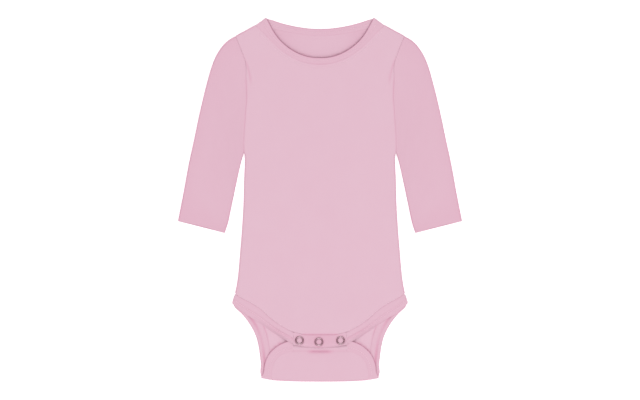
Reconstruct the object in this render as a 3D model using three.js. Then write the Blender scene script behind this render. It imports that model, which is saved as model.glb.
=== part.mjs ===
// Long-sleeved baby bodysuit in jersey, laid flat on its back with its crotch snaps closed.
// Millimetres. +X is the garment's left side, +Y points to the neck, +Z up from the surface
// it lies on. The origin is under the middle of the garment, on that surface.

import * as THREE from "three";

// Overall sizes
const LENGTH = 436;              // shoulder point to the folded crotch
const CLOTH = 1.2;               // jersey wall
const BINDING = 1.8;             // folded binding of the neck and the legs
const TAPE = 1.4;                // folded strips that hold the snaps
const BINDING_ROUND = BINDING / 3;
const TAPE_ROUND = TAPE / 4;     // the strips are this much thinner at their edges, on both faces
const SEAM_GAP = 0.4;            // clearance between two pieces at a seam

// Heights of the middle of each layer above the surface
const BACK_MID = CLOTH / 2;
const FRONT_MID = 3.0;
const RIM_MID = 2.1;             // the front comes down to the back at the side and shoulder seams
const RIM_WIDTH = 10;            // over this distance from them
const BINDING_BACK_MID = BINDING / 2;
const BINDING_FRONT_MID = 3.0;
const BINDING_FOLD_RADIUS = (BINDING_FRONT_MID - BINDING_BACK_MID) / 2;
const CLOTH_FOLD_RADIUS = (FRONT_MID - BACK_MID) / 2;

// The snaps lift the front by this much, over this distance
const SNAP_LIFT = 4.15;
const LIFT_REACH = 60;

// Snap strips: half width, and their upper and lower edges below the shoulder points
const STRIP_HALF = 31.2;
const STRIP_STRAIGHT = 18;       // half width of the straight part of the upper seam
const FRONT_STRIP_TOP = 380;
const FRONT_STRIP_END_TOP = 376.8;
const FRONT_STRIP_LOW = 395.2;
const FRONT_STRIP_END_LOW = 391.6;
const FLAP_STRIP_TOP = 382.4;
const FLAP_STRIP_LOW = 400.2;

// Corners of the panels, from the middle and below the shoulder points
const ARMHOLE_TOP = { x: 101.4, down: 21 };
const UNDERARM = { x: 91.6, down: 160.2 };
const HIP = { x: 102, down: 329.4 };
const NECK_CORNER = { x: 78, down: 9.6 };
const CROTCH_FOLD = 436;
const CROTCH_FOLD_RISE = 1.8;    // the fold is this much higher at its ends
const NEAR = 0.1;                // a point this close to a corner of a panel counts as on it

// Soft fold of the front beside each armhole, where the sleeve pushes the chest inwards
const ARMHOLE_FOLD_DOWN = 70;
const ARMHOLE_FOLD_REACH = 28;
const ARMHOLE_FOLD_INSET = 4.5;
const ARMHOLE_FOLD_HALF = 4;
const ARMHOLE_FOLD_RISE = 0.8;

// Half widths of the body down the armhole seam and the side seam
const ARMHOLE = [
  { down: 21, half: 101.4 },
  { down: 30, half: 97.6 },
  { down: 42, half: 92.9 },
  { down: 56, half: 88.2 },
  { down: 70, half: 86.2 },
  { down: 86, half: 86.6 },
  { down: 104, half: 88.9 },
  { down: 126, half: 91.6 },
  { down: 146, half: 92.4 },
  { down: 160.2, half: 91.6 },
];
const SIDE_SEAM = [
  { down: 160.2, half: 91.6 },
  { down: 168, half: 90.6 },
  { down: 194, half: 91.1 },
  { down: 224, half: 91.9 },
  { down: 252, half: 93.6 },
  { down: 281, half: 95.9 },
  { down: 310, half: 98.5 },
  { down: 320, half: 100 },
  { down: 329.4, half: 102 },
];

// Shoulder line between the neck binding and the armhole
const SHOULDER = [
  { x: 78, down: 9.6 },
  { x: 85.2, down: 12 },
  { x: 91.7, down: 15.6 },
  { x: 97, down: 18.4 },
  { x: 101.4, down: 21 },
];

// Neck binding, from the middle to the shoulder: its folded edge and its seam
const NECK_FRONT = [
  { edgeX: 0, edgeDown: 46.8, seamX: 0, seamDown: 54.6 },
  { edgeX: 12, edgeDown: 45.9, seamX: 13, seamDown: 53.6 },
  { edgeX: 24, edgeDown: 42.3, seamX: 26.7, seamDown: 49.7 },
  { edgeX: 36, edgeDown: 35.8, seamX: 39.8, seamDown: 42.9 },
  { edgeX: 46, edgeDown: 28.2, seamX: 51, seamDown: 34.4 },
  { edgeX: 53, edgeDown: 20.2, seamX: 60.5, seamDown: 25.3 },
  { edgeX: 57.4, edgeDown: 13.4, seamX: 66.8, seamDown: 18.6 },
  { edgeX: 60.6, edgeDown: 6.8, seamX: 72.6, seamDown: 13 },
];
const NECK_FOLD = { edgeX: 64.2, edgeDown: -0.4, seamX: 77.4, seamDown: 7.8 };
const NECK_BACK = [
  { edgeX: 58.2, edgeDown: 2.2, seamX: 68, seamDown: 10.6 },
  { edgeX: 48.6, edgeDown: 5, seamX: 52.5, seamDown: 13.6 },
  { edgeX: 36.6, edgeDown: 7.9, seamX: 38.6, seamDown: 16.4 },
  { edgeX: 24.6, edgeDown: 10.2, seamX: 26, seamDown: 18.6 },
  { edgeX: 12.6, edgeDown: 11.8, seamX: 13.3, seamDown: 20.2 },
  { edgeX: 0, edgeDown: 12.2, seamX: 0, seamDown: 20.6 },
];

// Leg binding: along the front from the snap strip to the hip, folded there, down the edge
// of the back to the crotch fold, and up the edge of the flap to its own snap strip
const LEG_FRONT = [
  { edgeX: 31.6, edgeDown: 391.4, seamX: 31.6, seamDown: 376.9 },
  { edgeX: 42.9, edgeDown: 385.3, seamX: 37.9, seamDown: 373.7 },
  { edgeX: 55.2, edgeDown: 378, seamX: 48.4, seamDown: 367.9 },
  { edgeX: 69.3, edgeDown: 368.2, seamX: 60.6, seamDown: 358.7 },
  { edgeX: 80, edgeDown: 361, seamX: 71, seamDown: 349.4 },
  { edgeX: 91.6, edgeDown: 354, seamX: 83.6, seamDown: 341.3 },
  { edgeX: 99.4, edgeDown: 347.6, seamX: 94, seamDown: 335.9 },
];
const LEG_HIP = { edgeX: 105.8, edgeDown: 342, seamX: 102.2, seamDown: 330.9 };
const LEG_BACK = [
  { edgeX: 101.4, edgeDown: 347.4, seamX: 92.8, seamDown: 338.2 },
  { edgeX: 94, edgeDown: 354.4, seamX: 85.2, seamDown: 345.6 },
  { edgeX: 87, edgeDown: 363.2, seamX: 77.3, seamDown: 354 },
  { edgeX: 80.6, edgeDown: 373, seamX: 70.5, seamDown: 364 },
  { edgeX: 76, edgeDown: 383, seamX: 65.5, seamDown: 376 },
  { edgeX: 73.2, edgeDown: 393.6, seamX: 62, seamDown: 389 },
  { edgeX: 71.8, edgeDown: 404.6, seamX: 60, seamDown: 403 },
  { edgeX: 70.8, edgeDown: 416, seamX: 58.8, seamDown: 416 },
  { edgeX: 71.4, edgeDown: 425.6, seamX: 58.2, seamDown: 425 },
];
const LEG_BOTTOM = { edgeX: 69.4, edgeDown: 431.8, seamX: 57.9, seamDown: 434.2 };
const LEG_FLAP = [
  { edgeX: 67.9, edgeDown: 424.5, seamX: 57.6, seamDown: 425.5 },
  { edgeX: 66.4, edgeDown: 414.6, seamX: 56, seamDown: 417.5 },
  { edgeX: 62.3, edgeDown: 404.4, seamX: 52.8, seamDown: 410.8 },
  { edgeX: 55.4, edgeDown: 396.4, seamX: 48, seamDown: 405.6 },
  { edgeX: 48.4, edgeDown: 391.4, seamX: 42.2, seamDown: 402.4 },
  { edgeX: 40.6, edgeDown: 388.1, seamX: 36.5, seamDown: 400.8 },
  { edgeX: 31.6, edgeDown: 385.6, seamX: 31.6, seamDown: 400.2 },
];

// Sleeve: outer fold from the cuff up to the shoulder, inner fold from the cuff to the underarm
const SLEEVE_OUTER = [
  { x: 170.4, down: 242.4 },
  { x: 163.7, down: 208.8 },
  { x: 157.6, down: 175 },
  { x: 151, down: 145 },
  { x: 143.3, down: 108 },
  { x: 136.4, down: 79.2 },
  { x: 130.4, down: 58.5 },
  { x: 124.6, down: 45 },
  { x: 116.8, down: 33.6 },
  { x: 109.6, down: 26.4 },
  { x: 101.8, down: 21.2 },
];
const SLEEVE_INNER = [
  { x: 115.8, down: 257.2 },
  { x: 111.2, down: 246 },
  { x: 106.2, down: 223.4 },
  { x: 100.4, down: 194.4 },
  { x: 95.6, down: 174 },
  { x: 92.1, down: 160.2 },
];

// Grids: shares of the half width, and rows down the side seam, the leg seam and the flap
const NECK_SHARE = NECK_CORNER.x / ARMHOLE_TOP.x;
const STRIP_SHARE = STRIP_HALF / HIP.x;
const FRONT_SHARES = [0, 0.1, 0.2, STRIP_SHARE, 0.4, 0.5, 0.6, 0.69, NECK_SHARE, 0.87, 0.95, 1];
const BACK_SHARES = [0, 0.15, STRIP_SHARE, 0.45, 0.6, 0.7, NECK_SHARE, 0.87, 0.95, 1];
const BODY_ROWS = [21, 27, 34, 42, 52, 64, 80, 100, 122, 144, 160.2, 168, 184, 204, 228, 252, 276,
  298, 316, 329.4];
const LEG_ROWS = [337, 345, 354, 364, 376, 389, 403, 416, 425];
const FLAP_ROWS = [425.5, 417.8, 411.2, 406, 402.9, 401.3, 400.7];
const CLOTH_FOLD_STEPS = 4;
const BINDING_FOLD_STEPS = 5;
const NECK_STEPS = 3;            // stations of a binding for each row of its table
const LEG_STEPS = 2;
const STRIP_STEPS = 12;
const STRIP_ROWS = [
  { share: 0, thinner: TAPE_ROUND },
  { share: 0.12, thinner: 0 },
  { share: 0.88, thinner: 0 },
  { share: 1, thinner: TAPE_ROUND },
];
const SLEEVE_ROWS = [0, 0.09, 0.2, 0.32, 0.44, 0.55, 0.65, 0.74, 0.81, 0.87, 0.92, 0.96, 1];
const SLEEVE_STEPS = 7;
const SLEEVE_FOLD_ANGLES = [45, 90, 135];

// Ring snaps: the pressed ring that shows, the socket and the stud between the two strips, and
// the ring behind the flap's strip
const SNAPS = [
  { side: "right", x: -24.2, down: 386.6 },
  { side: "middle", x: -0.8, down: 388.1 },
  { side: "left", x: 25.2, down: 386.6 },
];
const SNAP_RADIUS = 5.25;
const SNAP_BORE = 3.2;
const SNAP_PLATE_RADIUS = 4.95;  // socket and stud plate, inside the rings' outline
const STUD_RADIUS = 1.9;
const STUD_PLATE = 0.6;
const STUD_HEIGHT = 1.55;
const SOCKET_BORE = 2.2;
const SOCKET_HEIGHT = 1.3;
const TOP_RING_HEIGHT = 0.8;
const TOP_RING_SLOPE = 0.6;      // width of the sloped rim outside, and a little less inside
const BACK_RING_HEIGHT = 0.7;
const TOP_RING_SIDES = 20;
const HIDDEN_SIDES = 16;
const BACK_RING_BASE = 1.45;
const FLAP_STRIP_BASE = 2.4;
const STUD_BASE = 4.05;
const SOCKET_BASE = 4.9;
const FRONT_STRIP_BASE = 6.45;
const TOP_RING_BASE = 8.1;

const JERSEY = new THREE.MeshStandardMaterial({ color: 0xe6bccc, roughness: 0.9, metalness: 0 });
const RIB = new THREE.MeshStandardMaterial({ color: 0xe4b8c9, roughness: 0.92, metalness: 0 });
const STEEL = new THREE.MeshStandardMaterial({ color: 0xc9c4c8, roughness: 0.3, metalness: 1 });

const RADIAN = Math.PI / 180;
const yOf = (down) => LENGTH / 2 - down;
const lerp = (a, b, t) => a + (b - a) * t;

/** Smooth step from 0 to 1 over the share t. */
function ease(t) {
  const k = Math.min(1, Math.max(0, t));
  return k * k * (3 - 2 * k);
}

/** Smooth function through the rows of a table, read by one column and giving another. */
function through(rows, input, output) {
  const sorted = [...rows].sort((a, b) => a[input] - b[input]);
  const xs = sorted.map((row) => row[input]);
  const ys = sorted.map((row) => row[output]);
  const last = xs.length - 1;
  const slope = (i) => {
    const before = Math.max(0, i - 1);
    const after = Math.min(last, i + 1);
    return (ys[after] - ys[before]) / (xs[after] - xs[before]);
  };
  return (x) => {
    if (x <= xs[0]) return ys[0];
    if (x >= xs[last]) return ys[last];
    const i = xs.findIndex((value) => value > x) - 1;
    const width = xs[i + 1] - xs[i];
    const t = (x - xs[i]) / width;
    const a = ys[i] * (1 + 2 * t) * (1 - t) ** 2 + ys[i + 1] * t * t * (3 - 2 * t);
    const b = slope(i) * t * (1 - t) ** 2 - slope(i + 1) * t * t * (1 - t);
    return a + b * width;
  };
}

/** Rows moved sideways by a distance, square to the line that they follow. */
function movedAside(rows, distance) {
  return rows.map((row, i) => {
    const a = rows[Math.max(0, i - 1)];
    const b = rows[Math.min(rows.length - 1, i + 1)];
    const length = Math.hypot(b.x - a.x, b.down - a.down);
    const x = row.x + (distance * (b.down - a.down)) / length;
    const down = row.down - (distance * (b.x - a.x)) / length;
    return { x, down };
  });
}

const seamOf = (rows) => rows.map((row) => ({ x: row.seamX, down: row.seamDown }));

/** How far the closed snaps lift the front at a point. */
function snapLift(x, down) {
  const aside = Math.max(0, Math.abs(x) - STRIP_HALF);
  const above = Math.max(0, FRONT_STRIP_TOP - down);
  return SNAP_LIFT * ease(1 - Math.hypot(aside, above) / LIFT_REACH);
}

/** Closed geometry from points and triangles, turned the right way out. */
function solid(points, faces) {
  const positions = points.flatMap((p) => [p.x, p.y, p.z]);
  let volume = 0;
  for (const [a, b, c] of faces) {
    volume += points[a].dot(points[b].clone().cross(points[c]));
  }
  const outward = volume < 0 ? faces.map(([a, b, c]) => [a, c, b]) : faces;
  const geometry = new THREE.BufferGeometry();
  geometry.setAttribute("position", new THREE.Float32BufferAttribute(positions, 3));
  geometry.setIndex(outward.flat());
  geometry.computeVertexNormals();
  return geometry;
}

/** Wall between two grids of points of one size; ring joins the last column to the first. */
function wall(outside, inside, ring) {
  const rows = outside.length;
  const columns = outside[0].length;
  const points = [...outside.flat(), ...inside.flat()];
  const faces = [];
  const quad = (a, b, c, d) => faces.push([a, b, c], [a, c, d]);
  const outer = (j, i) => j * columns + (i % columns);
  const inner = (j, i) => rows * columns + outer(j, i);
  const steps = ring ? columns : columns - 1;
  for (let j = 0; j < rows - 1; j += 1) {
    for (let i = 0; i < steps; i += 1) {
      quad(outer(j, i), outer(j, i + 1), outer(j + 1, i + 1), outer(j + 1, i));
      quad(inner(j, i), inner(j + 1, i), inner(j + 1, i + 1), inner(j, i + 1));
    }
  }
  for (let i = 0; i < steps; i += 1) {
    quad(outer(0, i), inner(0, i), inner(0, i + 1), outer(0, i + 1));
    quad(outer(rows - 1, i), outer(rows - 1, i + 1), inner(rows - 1, i + 1), inner(rows - 1, i));
  }
  for (let j = 0; j < rows - 1 && !ring; j += 1) {
    const end = columns - 1;
    quad(outer(j, 0), outer(j + 1, 0), inner(j + 1, 0), inner(j, 0));
    quad(outer(j, end), inner(j, end), inner(j + 1, end), outer(j + 1, end));
  }
  return solid(points, faces);
}

/** Bar through sections of equally many points; a loop joins the last section to the first. */
function bar(sections, loop) {
  const count = sections[0].length;
  const points = sections.flat();
  const faces = [];
  const at = (j, i) => (j % sections.length) * count + (i % count);
  const steps = loop ? sections.length : sections.length - 1;
  for (let j = 0; j < steps; j += 1) {
    for (let i = 0; i < count; i += 1) {
      faces.push([at(j, i), at(j, i + 1), at(j + 1, i + 1)]);
      faces.push([at(j, i), at(j + 1, i + 1), at(j + 1, i)]);
    }
  }
  for (let i = 1; i < count - 1 && !loop; i += 1) {
    const end = sections.length - 1;
    faces.push([at(0, 0), at(0, i + 1), at(0, i)], [at(end, 0), at(end, i), at(end, i + 1)]);
  }
  return solid(points, faces);
}

/** Centre line of a binding's fold, inside the outline by the fold's outer radius. */
function foldLine(fold) {
  const edge = new THREE.Vector3(fold.edgeX, yOf(fold.edgeDown), 0);
  const seam = new THREE.Vector3(fold.seamX, yOf(fold.seamDown), 0);
  const along = seam.clone().sub(edge).normalize();
  const outwards = new THREE.Vector3(along.y, -along.x, 0);
  if (outwards.dot(edge) < 0) outwards.negate();
  const inset = BINDING_FOLD_RADIUS + BINDING / 2;
  edge.addScaledVector(outwards, -inset);
  seam.addScaledVector(outwards, -inset);
  return { edge, seam, outwards };
}

const foldRow = (line) => ({
  edgeX: line.edge.x,
  edgeDown: LENGTH / 2 - line.edge.y,
  seamX: line.seam.x,
  seamDown: LENGTH / 2 - line.seam.y,
});

const mirrored = (values) => [...values.slice(1).reverse().map((value) => -value), ...values];

const armholeHalf = through(ARMHOLE, "down", "half");
const sideHalf = through(SIDE_SEAM, "down", "half");
const shoulderDown = through(SHOULDER, "x", "down");

/** Half width of the body at a height of the armhole and side seams. */
function bodyHalf(down) {
  return down < UNDERARM.down ? armholeHalf(down) : sideHalf(down);
}

const neckFold = foldLine(NECK_FOLD);
const hipFold = foldLine(LEG_HIP);
const bottomFold = foldLine(LEG_BOTTOM);
const frontNeckSeam = seamOf([...NECK_FRONT, foldRow(neckFold)]);
const backNeckSeam = seamOf([foldRow(neckFold), ...NECK_BACK]);
const frontNeckLine = through(movedAside(frontNeckSeam, -SEAM_GAP), "x", "down");
const backNeckLine = through(movedAside(backNeckSeam, SEAM_GAP), "x", "down");

/** Upper edge of a panel: along the neck seam, then along the shoulder line. */
function upperEdge(x, neckLine) {
  const side = Math.abs(x);
  return side < NECK_CORNER.x - NEAR ? neckLine(side) : shoulderDown(side);
}

const frontLegSeam = movedAside(seamOf([...LEG_FRONT, foldRow(hipFold)]), SEAM_GAP);
const frontLegLine = through([...frontLegSeam, HIP], "x", "down");

/** Upper seam of the front snap strip, rising a little at its two ends. */
function frontStripSeam(x) {
  const share = (Math.abs(x) - STRIP_STRAIGHT) / (STRIP_HALF - STRIP_STRAIGHT);
  return lerp(FRONT_STRIP_TOP, FRONT_STRIP_END_TOP, ease(share));
}

/** Lower edge of the front panel: leg seams, and the snap strip's seam between them. */
function frontLowerEdge(x) {
  const side = Math.abs(x);
  return side < STRIP_HALF + NEAR ? frontStripSeam(side) - SEAM_GAP : frontLegLine(side);
}

/** How far the fold beside the armhole lifts the front. */
function armholeFold(inset, down) {
  const along = 1 - Math.abs(down - ARMHOLE_FOLD_DOWN) / ARMHOLE_FOLD_REACH;
  const across = 1 - Math.abs(inset - ARMHOLE_FOLD_INSET) / ARMHOLE_FOLD_HALF;
  return ARMHOLE_FOLD_RISE * ease(along) * ease(across);
}

/** Height of the middle of the front's cloth. */
function frontHeight(x, down, sideDown, upper) {
  const side = Math.abs(x);
  const belowArm = ease((sideDown - UNDERARM.down + RIM_WIDTH) / (2 * RIM_WIDTH));
  const inset = bodyHalf(sideDown) - side;
  const atSide = belowArm * (1 - ease(inset / RIM_WIDTH));
  const besideNeck = ease((side - NECK_CORNER.x) / RIM_WIDTH + 0.5);
  const atShoulder = besideNeck * (1 - ease((down - upper) / RIM_WIDTH));
  const drop = Math.max(atSide, atShoulder) * (FRONT_MID - RIM_MID);
  return FRONT_MID - drop + armholeFold(inset, down) + snapLift(x, down);
}

function frontPanel() {
  const outside = [];
  const inside = [];
  for (const sideDown of BODY_ROWS) {
    const share = (sideDown - ARMHOLE_TOP.down) / (HIP.down - ARMHOLE_TOP.down);
    const points = mirrored(FRONT_SHARES).map((s) => {
      const x = s * bodyHalf(sideDown);
      const upper = upperEdge(s * ARMHOLE_TOP.x, frontNeckLine);
      const down = lerp(upper, frontLowerEdge(s * HIP.x), share);
      return new THREE.Vector3(x, yOf(down), frontHeight(x, down, sideDown, upper));
    });
    outside.push(points.map((p) => new THREE.Vector3(p.x, p.y, p.z + CLOTH / 2)));
    inside.push(points.map((p) => new THREE.Vector3(p.x, p.y, p.z - CLOTH / 2)));
  }
  return wall(outside, inside, false);
}

const legSeam = seamOf([foldRow(hipFold), ...LEG_BACK, foldRow(bottomFold)]);
const backLegHalf = through([HIP, ...movedAside(legSeam, -SEAM_GAP)], "down", "x");
const flapSeam = seamOf([foldRow(bottomFold), ...LEG_FLAP]);
const flapHalf = through(movedAside(flapSeam, SEAM_GAP), "down", "x");
const foldEdge = (s) => CROTCH_FOLD - CROTCH_FOLD_RISE * Math.abs(s) ** 3;
const foldCentre = (s) => foldEdge(s) - CLOTH_FOLD_RADIUS - CLOTH / 2;

/** Back panel: the lower layer, the fold at the crotch and the flap above it, in one wall. */
function backPanel() {
  const shares = mirrored(BACK_SHARES);
  const outside = [];
  const inside = [];
  const offset = (p, by) => new THREE.Vector3(p.x, p.y - p.out * by, p.z - p.under * by);
  const addRow = (row) => {
    outside.push(row.map((p) => offset(p, CLOTH / 2)));
    inside.push(row.map((p) => offset(p, -CLOTH / 2)));
  };
  const lowest = foldCentre(1);
  for (const sideDown of [...BODY_ROWS, ...LEG_ROWS]) {
    const share = (sideDown - ARMHOLE_TOP.down) / (lowest - ARMHOLE_TOP.down);
    const half = sideDown > HIP.down ? backLegHalf(sideDown) : bodyHalf(sideDown);
    addRow(shares.map((s) => {
      const upper = upperEdge(s * ARMHOLE_TOP.x, backNeckLine);
      const y = yOf(lerp(upper, foldCentre(s), share));
      return { x: s * half, y, z: BACK_MID, out: 0, under: 1 };
    }));
  }
  for (let k = 0; k <= CLOTH_FOLD_STEPS; k += 1) {
    const turn = (k / CLOTH_FOLD_STEPS) * Math.PI;
    const half = flapHalf(LENGTH);
    addRow(shares.map((s) => {
      const y = yOf(foldCentre(s) + CLOTH_FOLD_RADIUS * Math.sin(turn));
      const z = BACK_MID + CLOTH_FOLD_RADIUS * (1 - Math.cos(turn));
      return { x: s * half, y, z, out: Math.sin(turn), under: Math.cos(turn) };
    }));
  }
  const flapTop = FLAP_ROWS[FLAP_ROWS.length - 1];
  for (const sideDown of FLAP_ROWS) {
    const share = (lowest - sideDown) / (lowest - flapTop);
    addRow(shares.map((s) => {
      const y = yOf(lerp(foldCentre(s), flapTop, share));
      return { x: s * flapHalf(sideDown), y, z: FRONT_MID, out: 0, under: -1 };
    }));
  }
  return wall(outside, inside, false);
}

/** Smooth line through rows, as points at even shares of the rows. */
function lineThrough(rows) {
  const points = rows.map((row) => new THREE.Vector3(row.x, yOf(row.down), 0));
  const curve = new THREE.CatmullRomCurve3(points);
  return (t) => curve.getPointAt(t);
}

const sleeveOuter = lineThrough(SLEEVE_OUTER);
const sleeveInner = lineThrough(SLEEVE_INNER);

/** Point of the flattened sleeve: across from the outer fold, along from the cuff. */
function sleevePoint(across, along) {
  const hem = sleeveOuter(0).lerp(sleeveInner(0), across);
  const down = lerp(SLEEVE_OUTER[SLEEVE_OUTER.length - 1].down, UNDERARM.down, across);
  const armhole = new THREE.Vector3(armholeHalf(down) + SEAM_GAP, yOf(down), 0);
  const ends = hem.clone().lerp(armhole, along);
  const sides = sleeveOuter(along).lerp(sleeveInner(along), across);
  const armholeCorners = sleeveOuter(1).lerp(sleeveInner(1), across);
  return ends.add(sides).sub(hem.lerp(armholeCorners, along));
}

/** One ring of the sleeve's wall, with round folds of the given radius at its two sides. */
function sleeveRing(along, radius) {
  const outerRadius = CLOTH_FOLD_RADIUS + CLOTH / 2;
  const middle = BACK_MID + CLOTH_FOLD_RADIUS;
  const inset = outerRadius / sleevePoint(0, along).distanceTo(sleevePoint(1, along));
  const ring = [];
  for (const side of [0, 1]) {
    const height = side === 0 ? radius : -radius;
    for (let k = 0; k <= SLEEVE_STEPS; k += 1) {
      const across = side === 0 ? k / SLEEVE_STEPS : 1 - k / SLEEVE_STEPS;
      const point = sleevePoint(lerp(inset, 1 - inset, across), along);
      ring.push(point.setZ(middle + height));
    }
    const edge = sleevePoint(side === 0 ? 1 - inset : inset, along);
    const outwards = sleevePoint(side === 0 ? 1 : 0, along).sub(edge).normalize();
    for (const angle of SLEEVE_FOLD_ANGLES) {
      const point = edge.clone().addScaledVector(outwards, radius * Math.sin(angle * RADIAN));
      ring.push(point.setZ(middle + height * Math.cos(angle * RADIAN)));
    }
  }
  return ring;
}

function sleeve(side) {
  const place = (ring) => ring.map((p) => new THREE.Vector3(side * p.x, p.y, p.z));
  const rings = (radius) => SLEEVE_ROWS.map((along) => place(sleeveRing(along, radius)));
  const outside = rings(CLOTH_FOLD_RADIUS + CLOTH / 2);
  const inside = rings(CLOTH_FOLD_RADIUS - CLOTH / 2);
  return wall(outside, inside, true);
}

/** Section of a binding: a flat bar with its folded edge rounded, between edge and seam points. */
function bindingSection(edge, seam, normal) {
  const across = seam.clone().sub(edge).normalize();
  const half = BINDING / 2;
  const at = (origin, aside, up) => {
    return origin.clone().addScaledVector(across, aside).addScaledVector(normal, up);
  };
  return [
    at(edge, 0, half - BINDING_ROUND),
    at(edge, BINDING_ROUND, half),
    at(seam, 0, half),
    at(seam, 0, -half),
    at(edge, BINDING_ROUND, -half),
    at(edge, 0, BINDING_ROUND - half),
  ];
}

/** Stations of a binding as it lies flat: smooth through its rows, face up or face down. */
function flatStations(rows, between, faceUp) {
  const curveOf = (x, down) => new THREE.CatmullRomCurve3(
    rows.map((row) => new THREE.Vector3(row[x], yOf(row[down]), 0)),
    false,
    "centripetal",
  );
  const edges = curveOf("edgeX", "edgeDown");
  const seams = curveOf("seamX", "seamDown");
  const count = (rows.length - 1) * between;
  const stations = [];
  for (let k = 0; k <= count; k += 1) {
    stations.push({
      edge: edges.getPoint(k / count),
      seam: seams.getPoint(k / count),
      normal: new THREE.Vector3(0, 0, faceUp ? 1 : -1),
    });
  }
  return stations;
}

/** Stations round a fold, from face up to face down. */
function foldStations(line) {
  const stations = [];
  const middle = BINDING_BACK_MID + BINDING_FOLD_RADIUS;
  for (let k = 0; k <= BINDING_FOLD_STEPS; k += 1) {
    const turn = (k / BINDING_FOLD_STEPS) * Math.PI;
    const normal = line.outwards.clone().multiplyScalar(Math.sin(turn)).setZ(Math.cos(turn));
    const offset = normal.clone().multiplyScalar(BINDING_FOLD_RADIUS);
    offset.z += middle;
    stations.push({ edge: line.edge.clone().add(offset), seam: line.seam.clone().add(offset), normal });
  }
  return stations;
}

/** Raises flat stations to their layer; the front's follow the lift of the snaps. */
function atHeight(stations, height, lifted) {
  for (const { edge, seam } of stations) {
    edge.z = height + (lifted ? snapLift(edge.x, LENGTH / 2 - edge.y) : 0);
    seam.z = height + (lifted ? snapLift(seam.x, LENGTH / 2 - seam.y) : 0);
  }
  return stations;
}

const sectionsOf = (stations) => stations.map((s) => bindingSection(s.edge, s.seam, s.normal));
const mirrorStations = (stations) => stations.map(({ edge, seam, normal }) => ({
  edge: new THREE.Vector3(-edge.x, edge.y, edge.z),
  seam: new THREE.Vector3(-seam.x, seam.y, seam.z),
  normal: new THREE.Vector3(-normal.x, normal.y, normal.z),
}));

/** Neck binding: a loop over the front neck, folded at both shoulders and round the back neck. */
function neckBinding() {
  const front = flatStations([...NECK_FRONT, foldRow(neckFold)], NECK_STEPS, true);
  const back = flatStations([foldRow(neckFold), ...NECK_BACK], NECK_STEPS, false);
  atHeight(front, BINDING_FRONT_MID, false);
  atHeight(back, BINDING_BACK_MID, false);
  const half = [...front.slice(0, -1), ...foldStations(neckFold), ...back.slice(1)];
  const other = mirrorStations(half.slice(1, -1)).reverse();
  return bar(sectionsOf([...half, ...other]), true);
}

/** Leg binding of one side, from the front's snap strip round the leg to the flap's. */
function legBinding(side) {
  const backRows = [foldRow(hipFold), ...LEG_BACK, foldRow(bottomFold)];
  const front = flatStations([...LEG_FRONT, foldRow(hipFold)], LEG_STEPS, true);
  const back = flatStations(backRows, LEG_STEPS, false);
  const flap = flatStations([foldRow(bottomFold), ...LEG_FLAP], LEG_STEPS, true);
  atHeight(front, BINDING_FRONT_MID, true);
  atHeight(back, BINDING_BACK_MID, false);
  atHeight(flap, BINDING_FRONT_MID, false);
  const stations = [
    ...front.slice(0, -1),
    ...foldStations(hipFold),
    ...back.slice(1, -1),
    ...foldStations(bottomFold).reverse(),
    ...flap.slice(1),
  ];
  return bar(sectionsOf(side > 0 ? stations : mirrorStations(stations)), false);
}

/** Snap strip: a flat strip between an upper and a lower edge, standing on its base height. */
function snapStrip(upper, lower, base) {
  const grid = (top) => STRIP_ROWS.map(({ share, thinner }) => {
    const row = [];
    for (let i = 0; i <= STRIP_STEPS; i += 1) {
      const x = lerp(-STRIP_HALF, STRIP_HALF, i / STRIP_STEPS);
      const z = top ? base + TAPE - thinner : base + thinner;
      row.push(new THREE.Vector3(x, yOf(lerp(upper(x), lower(x), share)), z));
    }
    return row;
  });
  return wall(grid(true), grid(false), false);
}

function frontStrip() {
  const lower = (x) => lerp(FRONT_STRIP_LOW, FRONT_STRIP_END_LOW, (Math.abs(x) / STRIP_HALF) ** 2);
  return snapStrip(frontStripSeam, lower, FRONT_STRIP_BASE);
}

function flapStrip() {
  return snapStrip(() => FLAP_STRIP_TOP, () => FLAP_STRIP_LOW, FLAP_STRIP_BASE);
}

/** Turned piece from its profile of radius and height, standing up along Z. */
function turned(profile, segments) {
  const points = profile.map(([radius, height]) => new THREE.Vector2(radius, height));
  return new THREE.LatheGeometry(points, segments).rotateX(Math.PI / 2);
}

/** Pressed ring that shows on the front, with a sloped rim on both sides. */
function topRing() {
  return turned([
    [SNAP_RADIUS, 0],
    [SNAP_RADIUS, TOP_RING_HEIGHT / 2],
    [SNAP_RADIUS - TOP_RING_SLOPE, TOP_RING_HEIGHT],
    [SNAP_BORE + TOP_RING_SLOPE, TOP_RING_HEIGHT],
    [SNAP_BORE, TOP_RING_HEIGHT / 2],
    [SNAP_BORE, 0],
    [SNAP_RADIUS, 0],
  ], TOP_RING_SIDES);
}

/** Flat ring of a rectangular section. */
function flatRing(radius, bore, height) {
  const profile = [[radius, 0], [radius, height], [bore, height], [bore, 0], [radius, 0]];
  return turned(profile, HIDDEN_SIDES);
}

/** Round plate with the knob that clips into the socket. */
function stud() {
  return turned([
    [0, 0],
    [SNAP_PLATE_RADIUS, 0],
    [SNAP_PLATE_RADIUS, STUD_PLATE],
    [STUD_RADIUS, STUD_PLATE],
    [STUD_RADIUS, STUD_HEIGHT],
    [0, STUD_HEIGHT],
  ], HIDDEN_SIDES);
}

const bodysuit = new THREE.Group();

function add(name, geometry, material) {
  const mesh = new THREE.Mesh(geometry, material);
  mesh.name = name;
  bodysuit.add(mesh);
  return mesh;
}

add("back_panel", backPanel(), JERSEY);
add("front_panel", frontPanel(), JERSEY);
add("sleeve_left", sleeve(1), JERSEY);
add("sleeve_right", sleeve(-1), JERSEY);
add("neck_binding", neckBinding(), RIB);
add("leg_binding_left", legBinding(1), RIB);
add("leg_binding_right", legBinding(-1), RIB);
add("flap_snap_strip", flapStrip(), JERSEY);
add("front_snap_strip", frontStrip(), JERSEY);

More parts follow.
